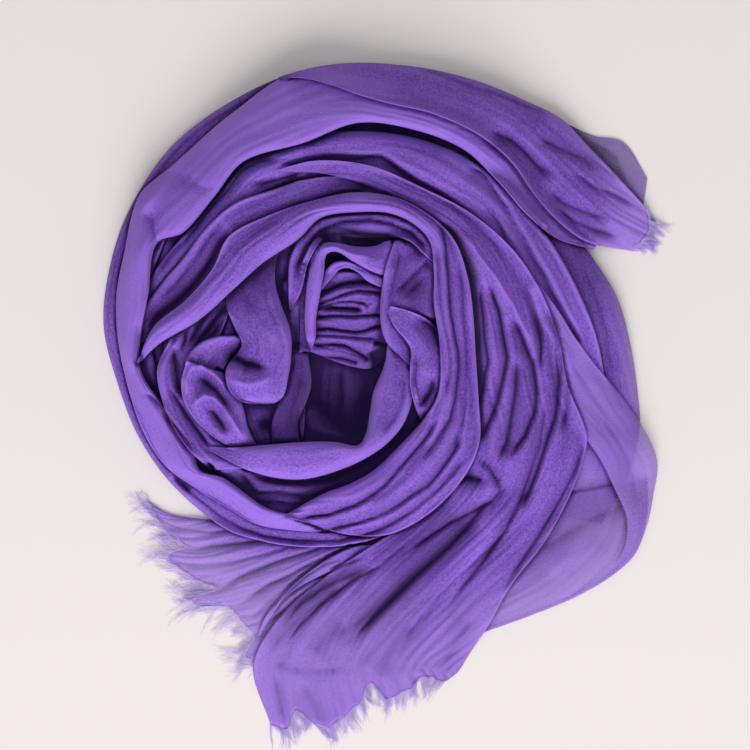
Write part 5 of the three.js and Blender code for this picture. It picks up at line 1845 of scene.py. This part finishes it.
def add_threads(weave):
    """Adds the crossed threads and the noises, and links the normal. Keeps them for the colour."""
    weave.slubs = weave.grain((-600, 300), 90, (1.2, 0.25))
    weave.crinkle = weave.grain((-600, 100), 105, (1.0, 0.7), 3.0)
    split = add_node(weave.group, "ShaderNodeSeparateXYZ", (-1000, -260))
    weave.link(weave.uv.outputs["UV"], split.inputs[0])
    sway = weave.maths("MULTIPLY", (-400, -100), weave.crinkle, 1.6)
    threads = []
    for k, axis in enumerate(("X", "Y")):
        row = -300 - 160 * k
        turns = weave.maths("MULTIPLY", (-800, row), split.outputs[axis], weave.given["Threads"])
        turns = weave.maths("MULTIPLY", (-620, row), turns, 2 * math.pi)
        threads.append(weave.maths("SINE", (-440, row), weave.maths("ADD", (-520, row), turns, sway)))
    weave.woven = weave.maths("MULTIPLY", (-240, -300), weave.maths("ADD", (-300, -300), *threads), 0.12)
    rough = weave.maths("MULTIPLY", (-200, -60), weave.crinkle, 1.5)
    height = weave.maths("ADD", (-60, -200), weave.woven, rough)
    height = weave.maths("ADD", (100, -200), height, weave.maths("MULTIPLY", (-200, 120), weave.slubs, 0.7))
    bump = add_node(weave.group, "ShaderNodeBump", (400, -260))
    bump.inputs["Distance"].default_value = BUMP_DEPTH * MM
    weave.link(weave.given["Relief"], bump.inputs["Strength"])
    weave.link(height, bump.inputs["Height"])
    weave.link(bump.outputs[0], weave.out["Normal"])


print("a thread every", round(UV_UNIT / 115, 2), "mm, raised by up to", BUMP_DEPTH, "mm")

# %% [markdown]
# ### Painted highlight, painted light and painted shade
#
# The grain of the wool shows as a fine speckle, and on a larger scale the dye is a little cloudy. To these
# the crest mark adds a painted highlight on the ridges. The thin mark then paints single layers paler still,
# as the light that comes through them, and the deep mark paints shade into the valleys. Marks on the points
# were chosen over a light-dependent node, because they look the same from every side.

# %% The colour of the cloth
def add_colours(weave):
    """Mixes the colour from the noises, and paints highlight, light and shade into it by the marks on the
    points.
    """
    maths = weave.maths
    cloud = weave.grain((-600, -60), 6, (1.0, 0.4))
    speckle = weave.grain((-600, -180), 62, (1.0, 0.8), 1.0)
    fold = add_node(weave.group, "ShaderNodeAttribute", (-1200, 420), attribute_name=FOLD)
    marks = add_node(weave.group, "ShaderNodeSeparateColor", (-1000, 420))
    weave.link(fold.outputs["Color"], marks.inputs[0])
    crest_highlight, deep, weave.thin = (marks.outputs[k] for k in ("Red", "Green", "Blue"))
    fibre = maths("MULTIPLY", (-60, 140), weave.crinkle, 1.0)
    tone = maths("ADD", (100, 200), maths("MULTIPLY", (-60, 260), weave.slubs, 0.5), fibre)
    tone = maths("ADD", (240, 200), tone, maths("MULTIPLY", (100, 60), cloud, 0.4))
    tone = maths("ADD", (300, 200), tone, maths("MULTIPLY", (200, 0), weave.woven, 0.6))
    tone = maths("ADD", (320, 240), tone, maths("MULTIPLY_ADD", (200, 60), speckle, 0.8, -0.4))
    # The crest mark adds a painted highlight.
    tone = maths("ADD", (340, 300), tone, maths("MULTIPLY", (200, 420), crest_highlight, 0.55))
    span = add_node(weave.group, "ShaderNodeMapRange", (400, 220), From_Min=0.65, From_Max=1.3)
    weave.link(tone, span.inputs["Value"])
    cloth = weave.mix((640, 220), span.outputs[0], weave.given["Deep"], weave.given["Pale"])
    # Single layers are painted paler, as the light that comes through them.
    thinness = maths("MULTIPLY", (600, 120), weave.thin, weave.given["Thinness"])
    cloth = weave.mix((700, 120), thinness, cloth, weave.given["Thin"])
    # The deep mark paints shade into valleys and hollows.
    shade = maths("MULTIPLY", (400, 460), deep, weave.given["Shade"])
    weave.link(weave.mix((780, 320), shade, cloth, SHADE_VIOLET), weave.out["Colour"])


def add_cover(weave):
    """How much a sheer layer hides: less between its threads, and less where it lies single."""
    gaps = weave.maths("MULTIPLY", (400, 0), weave.maths("SUBTRACT", (300, 0), weave.crinkle, 0.5), 0.5)
    single = weave.maths("MULTIPLY", (420, -100), weave.thin, 0.3)
    gaps = weave.maths("SUBTRACT", (500, -60), gaps, single)
    weave.link(weave.maths("ADD", (600, 0), weave.given["Cover"], gaps), weave.out["Cover"])


weave = Weave()
add_threads(weave)
add_colours(weave)
add_cover(weave)
print("the weave has", len(weave.group.nodes), "nodes")

# %% [markdown]
# ## The three finishes
#
# Gathered cloth, a single sheer layer and the yarns of the fringe differ only in a few values. Each material
# mixes a rough surface that has a faint sheen, which is the nap, with light that comes through from behind.
# Subsurface light could do that too, but it is meant for thick bodies. The sheer ones are also partly clear,
# so that the table and the layer beneath show through.

# %% A material of woven cloth
def cloth_material(name, deep, pale, through, glow_colour, cover=None, **sockets):
    """Woven cloth. through is the share of light that comes through it; cover is how much it hides."""
    material = bpy.data.materials.new(name)
    material.use_nodes = True
    tree = material.node_tree
    tree.nodes.clear()
    link = tree.links.new
    out = add_node(tree, "ShaderNodeOutputMaterial", (900, 0))
    cloth = add_node(tree, "ShaderNodeGroup", (-400, 0), node_tree=weave.group)
    for socket, value in {"Deep": deep, "Pale": pale, "Cover": cover or 1.0, **sockets}.items():
        cloth.inputs[socket].default_value = value
    face = add_node(tree, "ShaderNodeBsdfPrincipled", (0, 100), Roughness=0.82, Sheen_Weight=0.28)
    face.inputs["Specular IOR Level"].default_value = 0.25
    face.inputs["Sheen Roughness"].default_value = 0.45
    face.inputs["Sheen Tint"].default_value = FUZZ_TINT
    link(cloth.outputs["Colour"], face.inputs["Base Color"])
    link(cloth.outputs["Normal"], face.inputs["Normal"])
    if cover is not None:
        link(cloth.outputs["Cover"], face.inputs["Alpha"])
    glow = add_node(tree, "ShaderNodeBsdfTranslucent", (0, -500))
    glow.inputs["Color"].default_value = glow_colour
    blend = add_node(tree, "ShaderNodeMixShader", (400, 0))
    blend.inputs[0].default_value = through
    link(face.outputs[0], blend.inputs[1])
    link(glow.outputs[0], blend.inputs[2])
    link(blend.outputs[0], out.inputs["Surface"])
    print(name, "lets", through, "of the light through")
    return material


# %% The materials
MATERIALS = {
    "gathered": cloth_material("violet cloth", DEEP_VIOLET, PALE_VIOLET, 0.2, PALE_VIOLET),
    "sheer": cloth_material("violet cloth, single layer", DEEP_VIOLET, PALE_VIOLET, 0.12, THIN_VIOLET, 0.66,
                            Relief=0.35, Thinness=1.0),
    "yarn": cloth_material("violet yarn", THIN_VIOLET, YARN_VIOLET, 0.4, YARN_VIOLET, 0.66,
                           Relief=0.0, Shade=0.0, Thinness=0.0),
}
print("materials:", list(MATERIALS))

# %% [markdown]
# ## The camera
#
# The photo was taken straight from above. A camera without perspective would be simplest, but the real one
# had some, so this one stands far away with a long lens. Across its width the frame holds 0.7 mm of the
# table to each of the photo's 750 pixels.

# %% Camera
PHOTO_PIXELS = 750
PIXEL_SIZE = 0.7  # millimetres of the table to a pixel
ORIGIN_PIXEL = (384.5, 404.0)  # where the frame's origin lies in the photo
CAMERA_HEIGHT = 3.0
SENSOR = 36.0


def add_camera():
    data = bpy.data.cameras.new("camera")
    data.sensor_width = SENSOR
    data.lens = SENSOR * CAMERA_HEIGHT / (PHOTO_PIXELS * PIXEL_SIZE * MM)
    camera = bpy.data.objects.new("camera", data)
    middle = PHOTO_PIXELS / 2
    camera.location = (
        (middle - ORIGIN_PIXEL[0]) * PIXEL_SIZE * MM,
        (ORIGIN_PIXEL[1] - middle) * PIXEL_SIZE * MM,
        CAMERA_HEIGHT,
    )
    bpy.context.scene.collection.objects.link(camera)
    bpy.context.scene.camera = camera
    print("the lens is", round(data.lens), "mm long")


add_camera()

# %% [markdown]
# ## The table and the light
#
# The shawl lies on a plain pale surface. The light comes from the lower edge of the photo, high and from a
# wide source, which gives the broad soft shadow along the top. A large disk lamp does the same. A faint
# second lamp and an even pale sky keep the valleys from going black.

# %% Table
FLOOR_SIDE = 6.0


def add_floor():
    corners = np.array([(-1, -1, 0), (1, -1, 0), (1, 1, 0), (-1, 1, 0)]) * FLOOR_SIDE / MM
    floor = new_mesh("floor", corners, np.array([[0, 1, 2, 3]]))
    material = bpy.data.materials.new("pale floor")
    material.use_nodes = True
    face = material.node_tree.nodes["Principled BSDF"]
    face.inputs["Base Color"].default_value = FLOOR_COLOUR
    face.inputs["Roughness"].default_value = 0.9
    floor.data.materials.append(material)
    print("the table is", 2 * FLOOR_SIDE, "m wide")


add_floor()

# %% Lights
def add_area_light(name, place, size, power, colour):
    data = bpy.data.lights.new(name, "AREA")
    data.shape = "DISK"
    data.size = size
    data.energy = power
    data.color = colour
    light = bpy.data.objects.new(name, data)
    light.location = place
    x, y, z = place
    light.rotation_euler = (math.atan2(math.hypot(x, y), z), 0, math.atan2(y, x) + math.pi / 2)
    bpy.context.scene.collection.objects.link(light)
    print(name, "of", power, "W,", round(math.degrees(math.atan2(z, math.hypot(x, y)))), "degrees up")


add_area_light("key light", (-0.15, -3.55, 2.1), 3.2, 235, (1.0, 0.98, 0.97))
add_area_light("fill light", (0.2, 1.0, 2.4), 1.8, 6, (0.97, 0.97, 1.0))
world = bpy.data.worlds.new("studio")
world.use_nodes = True
sky = world.node_tree.nodes["Background"]
sky.inputs["Color"].default_value = (1.0, 0.985, 0.98, 1)
sky.inputs["Strength"].default_value = 0.5
bpy.context.scene.world = world
bpy.context.scene.view_settings.view_transform = "Standard"
print("the sky's strength is", sky.inputs["Strength"].default_value)

# %% [markdown]
# ## Laying the shawl
#
# Whoever laid the real shawl wound it from the outside in, and every stretch came to rest on those before
# it. A cloth simulation could drop it too, but it wouldn't find the folds of the photo. So the stretches are
# laid in that order on the pile. Then the grooves are pressed in. Last the stretches give way from the top
# down, so that nothing pokes through what lies over it.

# %% Laying the stretches
LAID_ORDER = """
    left_end rim_layer hollow_floor left_bowl right_under loop_under bowl_layers second_turn left_inner
    outer_turn upper_flap top_sheet left_inner_folds post_fold ruffles small_arch arch swirl petal_lower
    petal_upper bowl_fold right_fold right_curl inner_arcs loop small_roll third_turn inner_turn
""".split()


def settle_all(pile):
    laid = []
    for seed, name in enumerate(LAID_ORDER):
        stretch = Stretch(STRETCHES["cloth_" + name], seed)
        stretch.settle(pile)
        laid.append(stretch)
    for stretch in laid:
        stretch.carve()
    return laid


pile = Pile()
heap = make_heap(pile, MATERIALS["gathered"])
laid = settle_all(pile)
print(len(laid), "stretches laid, the highest point at", round(float(pile.heights.max()), 1), "mm")

# %% Giving way to what lies above
finished = Pile()
for stretch in laid[::-1]:
    stretch.give_way(finished)
    finished.lay(stretch.x, stretch.y, stretch.z)
lower_heap(heap, finished)
finished.soften()
# The hidden layers get their painted highlight and shade.
mark_light_and_shade(heap, finished)
print("pressed down, the highest point is at", round(float(finished.heights.max()), 1), "mm")

# %% [markdown]
# ## Sheets and fringes as pieces
#
# Every stretch becomes a piece of its own, because on the real shawl each one moves by itself, and its
# fringe becomes one more. The area of all the sheets, laid flat, is added up.

# %% Making the pieces
def make_pieces(stretch):
    table = stretch.table
    sheet = make_sheet(stretch, MATERIALS[table.get("material", "gathered")])
    yarns = [make_fringe(stretch, finished, MATERIALS["yarn"])] if "fringe" in table else []
    # Each sheet and fringe gets its painted highlight, shade and light.
    mark_light_and_shade(sheet, finished, stretch)
    for piece in yarns:
        mark_light_and_shade(piece, finished)


for stretch in laid:
    make_pieces(stretch)
cloth_area = sum(float(np.prod(cut_of(stretch))) for stretch in laid)
print("all sheets together:", round(cloth_area, 3), "square metres")
